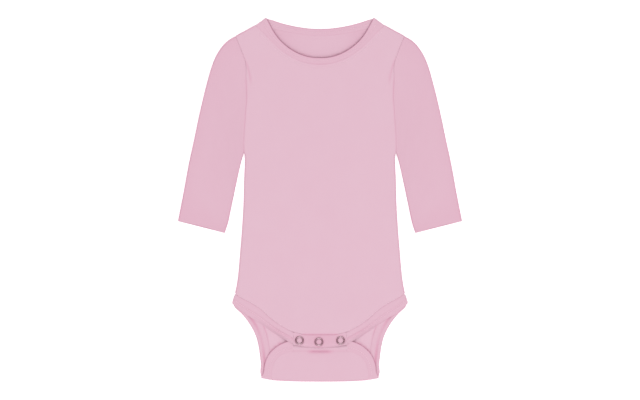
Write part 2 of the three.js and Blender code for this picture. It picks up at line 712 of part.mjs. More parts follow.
for (const { side, x, down } of SNAPS) {
  const backRing = flatRing(SNAP_RADIUS, SNAP_BORE, BACK_RING_HEIGHT);
  const socket = flatRing(SNAP_PLATE_RADIUS, SOCKET_BORE, SOCKET_HEIGHT);
  const pieces = [
    { name: "snap_back_ring", shape: backRing, base: BACK_RING_BASE },
    { name: "snap_stud", shape: stud(), base: STUD_BASE },
    { name: "snap_socket", shape: socket, base: SOCKET_BASE },
    { name: "snap_top_ring", shape: topRing(), base: TOP_RING_BASE },
  ];
  for (const { name, shape, base } of pieces) {
    add(`${name}_${side}`, shape, STEEL).position.set(x, yOf(down), base);
  }
}

export default bodysuit;
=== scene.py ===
# Long-sleeved baby bodysuit in pink cotton jersey, laid flat on its back with its crotch
# flap closed by three ring snaps, seen from straight above.
import math

import bmesh
import bpy
import numpy as np
from mathutils import Matrix, Vector
from mathutils.bvhtree import BVHTree


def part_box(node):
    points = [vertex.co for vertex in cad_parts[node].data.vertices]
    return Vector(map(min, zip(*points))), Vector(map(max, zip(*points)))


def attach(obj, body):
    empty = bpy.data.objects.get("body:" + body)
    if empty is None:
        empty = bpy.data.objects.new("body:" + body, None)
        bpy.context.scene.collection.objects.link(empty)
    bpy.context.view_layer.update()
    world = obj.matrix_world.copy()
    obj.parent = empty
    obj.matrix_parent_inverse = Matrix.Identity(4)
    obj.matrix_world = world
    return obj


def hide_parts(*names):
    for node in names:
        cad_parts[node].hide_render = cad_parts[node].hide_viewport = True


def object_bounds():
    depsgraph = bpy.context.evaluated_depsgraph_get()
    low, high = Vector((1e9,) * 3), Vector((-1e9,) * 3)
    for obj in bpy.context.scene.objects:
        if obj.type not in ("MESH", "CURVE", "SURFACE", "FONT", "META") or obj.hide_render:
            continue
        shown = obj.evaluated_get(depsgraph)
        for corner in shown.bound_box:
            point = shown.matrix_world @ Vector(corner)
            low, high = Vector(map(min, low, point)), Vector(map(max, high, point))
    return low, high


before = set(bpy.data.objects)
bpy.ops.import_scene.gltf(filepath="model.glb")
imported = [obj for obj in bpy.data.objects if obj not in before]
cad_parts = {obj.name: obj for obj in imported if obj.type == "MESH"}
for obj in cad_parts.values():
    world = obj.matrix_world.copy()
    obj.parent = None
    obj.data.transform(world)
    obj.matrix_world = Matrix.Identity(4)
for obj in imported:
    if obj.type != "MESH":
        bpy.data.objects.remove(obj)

bl_info = {
    "name": "Baby bodysuit laid flat",
    "version": (1, 0, 0),
    "blender": (4, 5, 0),
    "location": "View3D > Sidebar > Bodysuit",
    "description": "Builds a long-sleeved baby bodysuit in jersey, piece by piece",
    "category": "Add Mesh",
}

CAD_LOW, CAD_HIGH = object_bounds()
MM = 0.001

# The cutter's sizes are in millimetres: out from the middle, and down from the shoulder points
LENGTH = round((CAD_HIGH.y - CAD_LOW.y) / MM, 1)
SIDES = {"left": 1, "right": -1}     # the garment's own left, which is towards +X

# Heights of the middle of each layer above the surface that it lies on
BACK_MID = 0.6
FRONT_MID = 3.0
JOIN_MID = 1.75            # the front comes down to the back at the side and shoulder seams
BINDING_BACK_MID = 0.9
CLOTH_FOLD_RADIUS = (FRONT_MID - BACK_MID) / 2
BINDING_FOLD_RADIUS = (FRONT_MID - BINDING_BACK_MID) / 2
SLEEVE_MID = BACK_MID + CLOTH_FOLD_RADIUS    # between a sleeve's two layers
SNAP_LIFT = 4.15           # the closed snaps lift the front by this much
LIFT_REACH = 60
FRONT_STRIP_MID = FRONT_MID + SNAP_LIFT + 0.15
FLAP_STRIP_MID = 2.4
NECK_EDGE_RISE = 0.8

# Height of the front leg binding's folded edge where it comes to rest, by how far out it is
LEG_EDGE_REST = [(31.6, 5.2), (39, 4.9), (46, 2.6), (52, 1.9), (66, 1.9), (76, 2.7), (99, 3)]

# How edges meet: sewn edges go a little into each other where no line shows
SEAM_GAP = 0.04
SEWN_OVERLAP = 0.4
FRONT_NECK_OVERLAP = 0.2
FRONT_LEG_OVERLAP = 0.15
BACK_LEG_GAP = 0.1
FRONT_INSET = 0.25         # the front's side edge lies so far inside the back's

# Snap strips: half width, and how far down their edges are
STRIP_HALF = 31.6
STRIP_STRAIGHT = 18
STRIP_TUCKED = 1.2         # each end goes so far under the bindings
FRONT_STRIP_TOP, FRONT_STRIP_END_TOP = 379.4, 376.6
FRONT_STRIP_LOW, FRONT_STRIP_END_LOW = 395.2, 391.6
FLAP_STRIP_TOP, FLAP_STRIP_LOW = 382.4, 400.6
FLAP_TOP = 400.2
FLAP_DENT = 399.8          # line of the flap's soft dent at its strip's seam

# Corners of the panels: out and down
SHOULDER_TIP = (101.4, 21)
UNDERARM = (91.6, 160.2)
HIP = (102, 329.4)
NECK_CORNER = (77.4, 9.6)
HIP_TO_LEG = (336, 350)    # the side edge turns from seam to leg binding between these
CROTCH_FOLD = 436
CROTCH_FOLD_RISE = 1.8

# Edges of the body, out and down: the armhole, the side seam and the shoulder seam
ARMHOLE = [SHOULDER_TIP, (97.6, 30), (92.9, 42), (89.6, 52), (88.6, 61), (89, 71), (88.5, 80),
           (88.2, 89), (88.3, 98), (89.1, 106), (90.2, 122), (91.3, 136), (91.8, 148), UNDERARM]
SIDE_SEAM = [UNDERARM, (90.2, 163.4), (90.1, 170), (91.1, 194), (91.9, 224), (93.6, 252),
             (95.9, 281), (98.5, 310), (100, 320), HIP]
SHOULDER = [(77.4, 7.7), (85.2, 12), (91.7, 15.6), (97, 18.4), SHOULDER_TIP]

# Bindings, row by row: folded edge out and down, seam out and down
NECK_FRONT = [(0, 46.8, 0, 54.6), (12, 45.9, 13, 53.6), (24, 42.3, 26.7, 49.7),
              (36, 35.8, 39.8, 42.9), (45.6, 27.9, 51, 34.4), (52.3, 20, 60.5, 25.3),
              (56.7, 13.2, 66.8, 18.6), (60.2, 6.6, 72.6, 13)]
NECK_FOLD = (64.7, -1.3, 77.5, 8)
NECK_BACK = [(58.6, 1.4, 68.3, 9.9), (48.6, 4.7, 52.5, 13.3), (36.6, 7.9, 38.6, 16.4),
             (24.6, 10.2, 26, 18.6), (12.6, 11.8, 13.3, 20.2), (0, 12.2, 0, 20.6)]
LEG_FRONT = [(31.6, 391.4, 31.6, 376.9), (42.9, 385.3, 37.9, 373.7), (55.2, 378, 48.4, 367.9),
             (69.3, 368.2, 60.6, 358.7), (80, 361, 71, 349.4), (91.6, 354, 83.6, 341.3),
             (99.4, 347.6, 94, 335.9)]
LEG_HIP = (106.2, 342, 102.2, 330.9)
LEG_BACK = [(101.8, 347.4, 92.8, 338.2), (94.2, 354.4, 85.2, 345.6), (87, 363.2, 77.3, 354),
            (80.8, 373, 70.5, 364), (76.4, 383, 65.5, 376), (73.8, 393.6, 62, 389),
            (72.2, 404.6, 60, 403), (71, 416, 58.8, 416), (71.6, 424.6, 58.2, 425)]
LEG_BOTTOM = (70.7, 431.7, 57.9, 434.2)
LEG_FLAP = [(67.9, 424.5, 57.6, 425.5), (66.4, 414.6, 56, 417.5), (62.3, 404.4, 52.8, 410.8),
            (55.4, 396.4, 48, 405.6), (48.4, 391.4, 42.2, 402.4), (40.6, 388.1, 36.5, 400.8),
            (31.6, 385.6, 31.6, 400.2)]

# Sleeve: outer fold from the cuff to the shoulder, inner fold from the cuff to the underarm
SLEEVE_OUTER = [(170.7, 243.2), (164.1, 208.8), (158, 175), (151.5, 145), (143.7, 108),
                (136.6, 79.2), (130.7, 58.3), (125.1, 44.3), (117.4, 32.6), (110.1, 25.5),
                (101.8, 20.9)]
SLEEVE_INNER = [(114.5, 257.4), (110.8, 246), (106.2, 223.4), (100.4, 194.4), (96, 174),
                (92.1, 160.2)]

# Creases: from out and down, to out and down, bow of the line, half width and rise
FRONT_TUCKS = [(-90.6, 48, -83.3, 78, 1.3, 1.1, -0.42), (90.4, 48, 83.5, 77, -1.2, 1.1, -0.42)]
FRONT_CREASES = [
    (-85.4, 55, -79.6, 92, 1.5, 4, 0.4), (85.2, 56, 80, 90, -1.5, 4.2, 0.35),
    (-90, 168, -58, 146, 3, 7, 0.3), (90, 166, 62, 150, -3, 8, 0.26),
    (-42, 96, -30, 262, 9, 24, 0.34), (36, 108, 47, 300, -11, 27, 0.3),
    (4, 176, -9, 338, 7, 20, -0.24), (-70, 205, -76, 320, -5, 14, 0.22),
    (72, 196, 79, 316, 4, 13, 0.2), (-26, 370, -58, 318, 4, 7, 0.28),
    (27, 370, 55, 322, -4, 8, 0.24), (-97, 322, -72, 339, 2, 4.5, 0.26),
    (97, 323, 74, 338, -2, 5, 0.22),
]
BACK_CREASES = [
    (-64, 60, -50, 210, 8, 16, 0.35), (58, 84, 66, 232, -7, 18, 0.32),
    (-12, 150, 10, 300, -9, 22, 0.3), (-78, 240, -84, 320, 4, 8, 0.28),
    (80, 226, 86, 314, -3, 9, 0.26), (-60, 352, -38, 420, -5, 7, 0.3),
    (60, 350, 40, 424, 5, 7.5, 0.28), (-30, 300, 28, 318, 6, 10, 0.22),
]
SLEEVE_CREASES = {
    1: [(96, 152, 128, 128, -3, 7, 0.28), (131, 74, 104, 110, 4, 9, 0.26),
        (146, 138, 120, 232, 5, 12, 0.22), (98, 178, 132, 196, 3, 6, -0.2)],
    -1: [(97, 150, 131, 132, -2, 8, 0.25), (129, 70, 106, 116, 5, 8, 0.3),
         (143, 130, 124, 226, 4, 13, 0.24), (100, 186, 134, 178, 3, 6, -0.18)],
}

# Rows of stitches, measured in from the folded edge as shares of the binding's width, and
# out from the seam in millimetres
NECK_ROW_SHARE = 0.45
NAPE_ROW_SHARE = 0.5
LEG_ROW_SHARE = 0.43
BACK_LEG_ROW_SHARE = 0.4
FLAP_ROW_SHARE = 0.58
NECK_PANEL_ROW = 3.6
LEG_PANEL_ROW = 0.9

# Ring snaps: out and down
SNAPS = {"right": (-24.7, 386.3), "middle": (-1.3, 388), "left": (24.7, 386.4)}
SNAP_LINE = 387            # level of their row
SNAP_RADIUS = 5.2
SNAP_BORE = 3.45
RING_SINK, RING_RISE = 0.3, 0.1     # how far the rings go below and above their solids
RING_SIDES, RING_STEPS = 20, 56     # round a ring's wire, and round the snap
STITCH_SIDES = 6

# Each finished sheet laid flat: its size in metres and its area in square metres
FRONT_SHEET = (0.204, 0.370), 0.062
BACK_SHEET = (0.204, 0.462), 0.077
SLEEVE_SHEET = (0.16, 0.245), 0.0245
NECK_SHEET = (0.34, 0.0115), 0.0034
LEG_SHEET = (0.25, 0.0145), 0.0035
STRIP_SHEET = (0.0656, 0.0195), 0.0012

# Extra lines of the cloth's mesh beside an edge, by their distance from it
STITCH_CLOSE = (0.6, 1.6, 2.6, 3.6, 4.6, 5.8)
RIM_CLOSE = (0.6, 1.8)
SIDE_CLOSE = (0.6, 1.6, 2.7, 3.9, 5.1, 6.4)
STEPS_PER_ROW = 8
BACK_CELL = 1.08           # the back's cells are larger, as it shows less

# Shade of a cloth's points, a base level for each piece plus painted shade along seams, folds, rims
# and undersides: 0 is its flat pink, 1 its deep painted shade and 2 its darkest painted shade
FRONT_SHADE = 0.05
BACK_SHADE = 0.12
SLEEVE_SHADE = 0.2
STRIP_SHADE = 0.27
RIM_SHADE = 0.8
UNDERSIDE_SHADE = 0.42


def linear(text):
    """Linear colour of an sRGB hex value."""
    parts = [int(text[k:k + 2], 16) / 255 for k in (1, 3, 5)]
    return tuple(c / 12.92 if c <= 0.04045 else ((c + 0.055) / 1.055) ** 2.4 for c in parts)


def length_of(name, description, default):
    return bpy.props.FloatProperty(name=name, description=description, default=default,
                                   min=0, unit="LENGTH", precision=5)


def colour_of(name, description, text):
    return bpy.props.FloatVectorProperty(name=name, description=description, size=3, min=0,
                                         max=1, default=linear(text), subtype="COLOR")


class ClothSizes(bpy.types.PropertyGroup):
    wall: length_of("Jersey", "Thickness of the jersey", 0.0012)
    binding: length_of("Binding", "Thickness of the folded binding", 0.0018)
    tape: length_of("Snap strip", "Thickness of the folded strips that hold the snaps", 0.0014)
    cell: length_of("Cell", "Side of a cell of the cloth's mesh before it is smoothed", 0.0032)
    valley: length_of("Seam valley", "How deep the cloth dips at a seam", 0.00035)
    crease: bpy.props.FloatProperty(name="Creases", description="Strength of the creases",
                                    default=1, min=0, max=3)


class StitchSizes(bpy.types.PropertyGroup):
    pitch: length_of("Pitch", "From one stitch to the next", 0.0026)
    length: length_of("Stitch", "Length of a stitch", 0.0021)
    thread: length_of("Thread", "Thickness of the thread", 0.0005)


class KnitSizes(bpy.types.PropertyGroup):
    wale: length_of("Wale", "From one column of loops to the next", 0.0009)
    course: length_of("Course", "From one row of loops to the next", 0.0007)
    relief: length_of("Relief", "How far the loops stand out", 0.00008)


class Colours(bpy.types.PropertyGroup):
    jersey: colour_of("Jersey", "Pink of the flat cloth", "#dfbbca")
    # Painted shade: the deep pink darkens the cloth in gutters and folds, and the inmost pink where
    # little light comes
    painted_shade: colour_of("Deep pink", "Pink of the cloth in gutters and folds", "#d9a2b8")
    darkest_painted_shade: colour_of("Inmost pink", "Pink of the cloth where little light comes", "#9a6980")
    thread: colour_of("Thread", "Pink of the sewing thread", "#eed0dc")
    nickel: colour_of("Nickel", "Plating of the snaps", "#8a6571")
    # Painted highlight: lighter nickel at the top and foot of each ring
    painted_highlight_nickel: colour_of("Rubbed nickel", "Plating of the snaps where it is rubbed bright", "#dcc0c9")
    floor: colour_of("Floor", "Paper under the garment", "#fbfafa")


def y_of(down):
    """Height y of a place that is so far down, and how far down a height is."""
    return LENGTH / 2 - down


def ramp(value, start, end):
    """Smooth step, 0 up to the start and 1 from the end on. The end may be the lower one."""
    t = np.clip((value - start) / (end - start), 0, 1)
    return t * t * (3 - 2 * t)


def band(distance, width):
    """Soft band, 1 on its line and faded to about a third a width away from it."""
    return np.exp(-(distance / width) ** 2)


def rounding(distance, radius):
    """Share, from 1 at an edge to 0 a radius inside it, that a round edge has fallen."""
    t = 1 - np.clip(distance / radius, 0, 1)
    return 1 - np.sqrt(1 - t * t)


def size_of(vectors):
    return np.linalg.norm(vectors, axis=-1)


def unit(vectors):
    """Vectors of the same directions, each of length 1."""
    return vectors / size_of(vectors)[..., None]


def smooth(rows):
    """Points of a smooth line through rows."""
    rows = np.array(rows, float)
    knots = np.concatenate([[0], np.cumsum(np.sqrt(size_of(np.diff(rows, axis=0))))])
    slopes = np.gradient(rows, knots, axis=0)
    at = np.linspace(0, len(rows) - 1, (len(rows) - 1) * STEPS_PER_ROW + 1)
    i = np.minimum(at.astype(int), len(rows) - 2)
    t = (at - i)[:, None]
    pull = slopes[i] * t * (1 - t) ** 2 - slopes[i + 1] * t * t * (1 - t)
    blend = rows[i] * (1 + 2 * t) * (1 - t) ** 2 + rows[i + 1] * t * t * (3 - 2 * t)
    return blend + pull * (knots[i + 1] - knots[i])[:, None]


def read(line, at, source, value):
    """Value of one column of a line where another column has the given values."""
    order = np.argsort(line[:, source])
    return np.interp(at, line[order, source], line[order, value])


def stops(keys, cell):
    """Numbers from the first key to the last, through each key, at most a cell apart."""
    found = []
    for a, b in zip(keys, keys[1:]):
        found.extend(np.linspace(a, b, max(1, math.ceil((b - a) / cell)), endpoint=False))
    return np.array([*found, keys[-1]])


def lengths(line):
    """Length of a line up to each of its points."""
    return np.concatenate([[0], np.cumsum(size_of(np.diff(line, axis=0)))])


def along_at(line, run, at):
    """Points of a line where its length, given by run, has the given values."""
    return np.stack([np.interp(at, run, column) for column in line.T], axis=-1)


def spaced(line, cell, close=(), far_close=()):
    """The line again with even steps; close and far_close are extra places near its ends."""
    run = lengths(line)
    far = [run[-1] - distance for distance in reversed(far_close)]
    return along_at(line, run, stops([0, *close, *far, run[-1]], cell))


def aside(line, distance):
    """A line of points (out, down) moved sideways, square to itself."""
    run = unit(np.gradient(line, axis=0))
    return line + distance * np.column_stack([run[:, 1], -run[:, 0]])


def gap_to(line, x, down):
    """Distance from points to a line of (out, down) points."""
    spots = np.stack(np.broadcast_arrays(x, down), axis=-1).reshape(-1, 1, 2)
    start, run = line[:-1], np.diff(line, axis=0)
    along = np.clip(((spots - start) * run).sum(-1) / (run * run).sum(-1), 0, 1)
    away = spots - start - along[..., None] * run
    return size_of(away).min(axis=1).reshape(np.broadcast(x, down).shape)


def both_sides(rows):
    """Rows that start or end at the middle, for the whole width from one side to the other."""
    rows = np.array(rows, float)
    if abs(rows[0, 0]) > abs(rows[-1, 0]):
        rows = rows[::-1]
    other = rows[:0:-1] * np.tile([-1, 1], rows.shape[1] // 2)
    return np.concatenate([other, rows])


def relief(x, down, creases, strength):
    """Rise of the cloth by its creases, soft troughs and ridges that fade at both ends."""
    rise = np.zeros(np.broadcast(x, down).shape)
    for x1, down1, x2, down2, bow, half, height in creases:
        run = np.array([x2 - x1, down2 - down1], float)
        size = np.linalg.norm(run)
        run /= size
        along = ((x - x1) * run[0] + (down - down1) * run[1]) / size
        inside = np.clip(along, 0, 1)
        across = (x - x1) * run[1] - (down - down1) * run[0] - 4 * bow * inside * (1 - inside)
        fade = ramp(along, -0.15, 0.3) * ramp(along, 1.15, 0.7)
        rise += height * strength * fade * band(across, half)
    return rise


def add_object(name, data):
    """Adds an object with its data to the scene."""
    made = bpy.data.objects.new(name, data)
    bpy.context.scene.collection.objects.link(made)
    return made


def grid_mesh(name, points, flat, shade, loop_rows=False, loop_columns=False, caps=False):
    """Piece of a grid of points in millimetres, with its flat cut as UV map and its shade."""
    rows, columns = points.shape[:2]
    j, i = np.meshgrid(np.arange(rows - (not loop_rows)),
                       np.arange(columns - (not loop_columns)), indexing="ij")
    corners = [(j, i), (j, i + 1), (j + 1, i + 1), (j + 1, i)]
    faces = np.stack([a % rows * columns + b % columns for a, b in corners], axis=-1)
    faces = faces.reshape(-1, 4).tolist()
    uv = np.stack([flat[a, b] for a, b in corners], axis=2).reshape(-1, 2)
    if caps:
        ring = np.arange(columns)
        faces += [ring[::-1].tolist(), (ring + (rows - 1) * columns).tolist()]
        uv = np.concatenate([uv, flat[0, :columns][::-1], flat[-1, :columns]])
    mesh = bpy.data.meshes.new(name)
    mesh.from_pydata((points.reshape(-1, 3) * MM).tolist(), [], faces)
    mesh.uv_layers.new(name="Flat").data.foreach_set("uv", (uv * MM).ravel())
    values = np.broadcast_to(shade, points.shape[:2]).astype(float)
    mesh.attributes.new("shade", "FLOAT", "POINT").data.foreach_set("value", values.ravel())
    return add_object(name, mesh)


def apply_modifier(piece, kind, **settings):
    bpy.ops.object.select_all(action="DESELECT")
    piece.select_set(True)
    bpy.context.view_layer.objects.active = piece
    modifier = piece.modifiers.new(kind.title(), kind)
    for key, value in settings.items():
        setattr(modifier, key, value)
    bpy.ops.object.modifier_apply(modifier=modifier.name)


def face_outwards(piece):
    """Turns the faces of a closed piece outwards and shades it smooth."""
    mesh = bmesh.new()
    mesh.from_mesh(piece.data)
    bmesh.ops.recalc_face_normals(mesh, faces=mesh.faces)
    if mesh.calc_volume(signed=True) < 0:
        bmesh.ops.reverse_faces(mesh, faces=mesh.faces)
    mesh.to_mesh(piece.data)
    mesh.free()
    piece.data.shade_smooth()


def hand_over(piece, material, slot, *nodes):
    """Gives a finished piece its material, its body and the nodes it stands for; its slot is not
    used.
    """
    piece.data.materials.clear()
    piece.data.materials.append(material)
    if nodes:
        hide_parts(*nodes)
    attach(piece, "root")


def jersey_sheet(name, grid, wall, cad_node, size, rests_on, **closed):
    """A piece cut from one layer of jersey: its surface gets a wall with rounded edges."""
    piece = grid_mesh(name, *grid, **closed)
    apply_modifier(piece, "SOLIDIFY", thickness=wall, offset=0, use_even_offset=True)
    apply_modifier(piece, "SUBSURF", levels=1, render_levels=1)
    face_outwards(piece)
    jersey = material_of("cotton_jersey", cotton_jersey, 0.0)
    hand_over(piece, jersey, "jersey", cad_node)


def binding_sheet(name, grid, cad_node, size, rests_on, **closed):
    """A binding, a strip of jersey folded double, whose sections are closed already."""
    piece = grid_mesh(name, *grid, loop_columns=True, **closed)
    face_outwards(piece)
    folded = material_of("folded_jersey_binding", cotton_jersey, 0.06)
    hand_over(piece, folded, "binding", cad_node)


def fold_line(fold):
    """Centre line of a binding's fold, inside the outline by the fold's outer radius."""
    edge = np.array([fold[0], y_of(fold[1])])
    seam = np.array([fold[2], y_of(fold[3])])
    along = (seam - edge) / np.linalg.norm(seam - edge)
    out = np.array([along[1], -along[0]])
    if out @ edge < 0:
        out = -out
    inset = out * (BINDING_FOLD_RADIUS + BINDING_BACK_MID)
    return edge - inset, seam - inset, out


def fold_row(line):
    edge, seam, _ = line
    return (edge[0], y_of(edge[1]), seam[0], y_of(seam[1]))


NECK_FOLD_LINE = fold_line(NECK_FOLD)
HIP_FOLD_LINE = fold_line(LEG_HIP)
BOTTOM_FOLD_LINE = fold_line(LEG_BOTTOM)
NECK_FRONT_ROWS = smooth(both_sides([*NECK_FRONT, fold_row(NECK_FOLD_LINE)]))
NECK_BACK_ROWS = smooth(both_sides([fold_row(NECK_FOLD_LINE), *NECK_BACK]))
LEG_FRONT_ROWS = smooth([*LEG_FRONT, fold_row(HIP_FOLD_LINE)])
LEG_BACK_ROWS = smooth([fold_row(HIP_FOLD_LINE), *LEG_BACK, fold_row(BOTTOM_FOLD_LINE)])
LEG_FLAP_ROWS = smooth([fold_row(BOTTOM_FOLD_LINE), *LEG_FLAP])
ARMHOLE_LINE = smooth(ARMHOLE)
SHOULDER_LINE = smooth(SHOULDER)
BODY_LINE = np.concatenate([ARMHOLE_LINE, smooth(SIDE_SEAM)[1:]])
SLEEVE_OUTER_LINE = smooth(SLEEVE_OUTER)
SLEEVE_INNER_LINE = smooth(SLEEVE_INNER)
SLEEVE_TURN = np.radians([30, 60, 90, 120, 150])


def upper_edge(x, neck_rows, overlap):
    """Upper edge of a panel: along the neck seam, then along the shoulder line."""
    out = np.abs(x)
    neck = read(neck_rows, out, 2, 3) - overlap
    return np.where(out < NECK_CORNER[0] - 0.01, neck, read(SHOULDER_LINE, out, 0, 1))


def panel_shares(cell):
    """Columns of a panel as shares of its half width, with one at each corner of its edges."""
    neck = NECK_CORNER[0] / SHOULDER_TIP[0]
    strip = STRIP_HALF / HIP[0]
    corner = 0.8 / SHOULDER_TIP[0]
    half = [strip, neck - corner, neck, neck + corner]
    half += [1 - close / SHOULDER_TIP[0] for close in reversed(SIDE_CLOSE)] + [1]
    return stops([-share for share in reversed(half)] + half, cell / SHOULDER_TIP[0])


def front_strip_seam(x):
    drop = FRONT_STRIP_END_TOP - FRONT_STRIP_TOP
    return FRONT_STRIP_TOP + drop * ramp(np.abs(x), STRIP_STRAIGHT, STRIP_HALF)


def front_strip_low(x):
    drop = FRONT_STRIP_END_LOW - FRONT_STRIP_LOW
    return FRONT_STRIP_LOW + drop * (x / STRIP_HALF) ** 2


def snap_lift(x, down):
    """How far the closed snaps lift the front at a point."""
    away = np.hypot(np.maximum(0, np.abs(x) - STRIP_HALF), np.maximum(0, FRONT_STRIP_TOP - down))
    return SNAP_LIFT * ramp(away, LIFT_REACH, 0)


def between_snaps(x):
    """1 between the outer snaps, where the strips are pulled straight, and 0 outside them."""
    return ramp(np.abs(x), 23, 19)


def below_tuck(down):
    """1 down the armhole, where its seam shows as a line, and 0 at the tuck above."""
    return ramp(down, 68, 75)


def seam_dip(distance, depth):
    """Drop of a panel beside a seam: a small round valley."""
    return depth * rounding(distance, 1.6)


def edge_fall(distance):
    """Drop of the front towards an edge that is sewn down to the back."""
    return (FRONT_MID - JOIN_MID) * (0.5 * rounding(distance, 9) + 0.5 * rounding(distance, 2.6))


def dent(x, down):
    """Soft dent of the flap at its strip's seam, between the snaps' pull."""
    return 0.8 * band(down - FLAP_DENT, 1.9) * ramp(np.abs(x), 19, 7)


def front_points(sizes):
    """Middle of the front's cloth, from the shoulders to the leg seams, and its shade."""
    cell, valley = sizes.cell / MM, sizes.valley / MM
    side = spaced(BODY_LINE, cell, STITCH_CLOSE, RIM_CLOSE)
    level = side[:, 1:]
    s = panel_shares(cell)
    upper = upper_edge(s * SHOULDER_TIP[0], NECK_FRONT_ROWS, FRONT_NECK_OVERLAP)
    leg_seam = np.concatenate([aside(LEG_FRONT_ROWS[:, 2:], -FRONT_LEG_OVERLAP), [HIP]])
    out = np.abs(s) * HIP[0]
    lower = np.where(out < STRIP_HALF + 0.01, front_strip_seam(out) - SEAM_GAP,
                     read(leg_seam, out, 0, 1))
    half = side[:, :1] - FRONT_INSET * ramp(level, UNDERARM[1], UNDERARM[1] + 8)
    x = s * half
    down = upper + (lower - upper) * (level - SHOULDER_TIP[1]) / (HIP[1] - SHOULDER_TIP[1])

    # Places on the front, as distances from its edges and as shares of its regions
    to_side, to_top, to_leg = half - np.abs(x), down - upper, lower - down
    below_arm = ramp(level, UNDERARM[1] - 10, UNDERARM[1] + 10)
    on_shoulder = ramp(np.abs(x), NECK_CORNER[0] - 4, NECK_CORNER[0] + 4)
    at_throat = band(x, 30)
    row = band(to_top - NECK_PANEL_ROW, 0.9) * (1 - on_shoulder)

    # How firmly each seam pulls the cloth down
    arm_pull = 0.6 + 1.4 * below_tuck(down) - 0.5 * band(down - 61, 8)
    neck_pull = 0.3 + 0.7 * at_throat
    leg_pull = 0.5 - 0.3 * ramp(np.abs(x), 30, 26) + 1.6 * between_snaps(x)
    at_side = below_arm * edge_fall(to_side) + (1 - below_arm) * seam_dip(to_side, valley * arm_pull)
    at_top = (on_shoulder * edge_fall(to_top)
              + (1 - on_shoulder) * seam_dip(to_top, valley * neck_pull))
    drop = np.max([at_side, at_top, seam_dip(to_leg, valley * leg_pull)], axis=0) + 0.18 * row
    tucks = relief(x, down, FRONT_TUCKS, sizes.crease)
    creases = relief(x, down, FRONT_CREASES, sizes.crease)
    z = FRONT_MID + snap_lift(x, down) - drop + creases + tucks

    # Mostly painted shade: soft lines along the armhole seam, stronger below the tuck, along the
    # side and shoulder rims, the leg and strip seam, the neck seam and its stitched row, and in the
    # tucks
    shade = FRONT_SHADE + (0.05 + 0.3 * below_tuck(down)) * band(to_side, 1.3) * (1 - below_arm)
    shade = shade + band(to_side, 0.8) * below_arm + 1.2 * band(to_top, 0.8) * on_shoulder
    shade = shade + 0.5 * (leg_pull - 0.4) * band(to_leg, 1.1)
    shade = shade + 0.4 * neck_pull ** 3 * band(to_top, 1.1) * (1 - on_shoulder)
    shade = shade + 0.12 * row * neck_pull - 1.3 * tucks
    return np.dstack([x, y_of(down), z]), np.dstack([x, down]), shade


def back_layer(side, upper, centre, s, crease):
    """Back's lower layer, from the neck to the crotch, and its shade."""
    share = (side[:, 1:] - SHOULDER_TIP[1]) / (centre[0] - SHOULDER_TIP[1])
    x = s * side[:, :1]
    down = upper + (centre - upper) * share
    to_side, to_top = side[:, :1] - np.abs(x), down - upper
    in_leg = ramp(down, *HIP_TO_LEG)
    in_neck = ramp(np.abs(x), 76, 70) * (1 - in_leg)
    rise = np.maximum(0, relief(x, down, BACK_CREASES, crease))
    rise = rise * ramp(np.minimum(to_side, to_top), 0, 6)
    rise = rise + 0.3 * np.maximum(in_neck * ramp(to_top, 7, 0), in_leg * ramp(to_side, 7, 0))

    # Painted shade under the front's neck edge, at the sides of the neck opening, beside the leg
    # bindings and under the flap's edge, and faintly along the neck's stitched row
    neck_side = ramp(np.abs(x), 22, 56) * ramp(down, 60, 40)
    under_neck = band(gap_to(NECK_FRONT_ROWS[:, :2], x, down), 1.3) * (1 - neck_side)
    under_flap = band(gap_to(LEG_FLAP_ROWS[:, :2], np.abs(x), down), 1.4) * in_leg
    gutter = band(to_side, 1.5) * in_leg * (0.6 + 1.3 * band(down - 373, 11))
    shade = (BACK_SHADE * (1 - in_leg) + 0.06 * band(to_top - NECK_PANEL_ROW, 0.9) * in_neck
             + 0.4 * gutter + 0.2 * neck_side + 0.5 * under_neck + 0.8 * under_flap)
    return np.dstack([x, y_of(down), BACK_MID + rise]), shade


def crotch_turn(half, centre, s):
    """Turn of the back's cloth up round the crotch, and its shade."""
    turn = np.linspace(0, np.pi, 9)[1:-1, None]
    points = np.dstack([s * half + 0 * turn, y_of(centre + CLOTH_FOLD_RADIUS * np.sin(turn)),
                        BACK_MID + CLOTH_FOLD_RADIUS * (1 - np.cos(turn)) + 0 * s])
    # Painted shade, darkest at the outer rim of the turn
    return points, 0.3 + 1.1 * np.sin(turn) ** 4 + 0 * s


def flap_layer(side, centre, s):
    """Flap, from the turn at the crotch up to its snap strip, and its shade."""
    share = (centre[0] - side[:, 1:]) / (centre[0] - FLAP_TOP)
    x = s * side[:, :1]
    down = centre + (FLAP_TOP - centre) * share
    crown = 0.5 * np.sin(np.pi * share) * (1 - s ** 2)
    points = np.dstack([x, y_of(down), FRONT_MID - dent(x, down) + crown])
    # Painted shade in the dent
    return points, BACK_SHADE + 1.1 * dent(x, down)


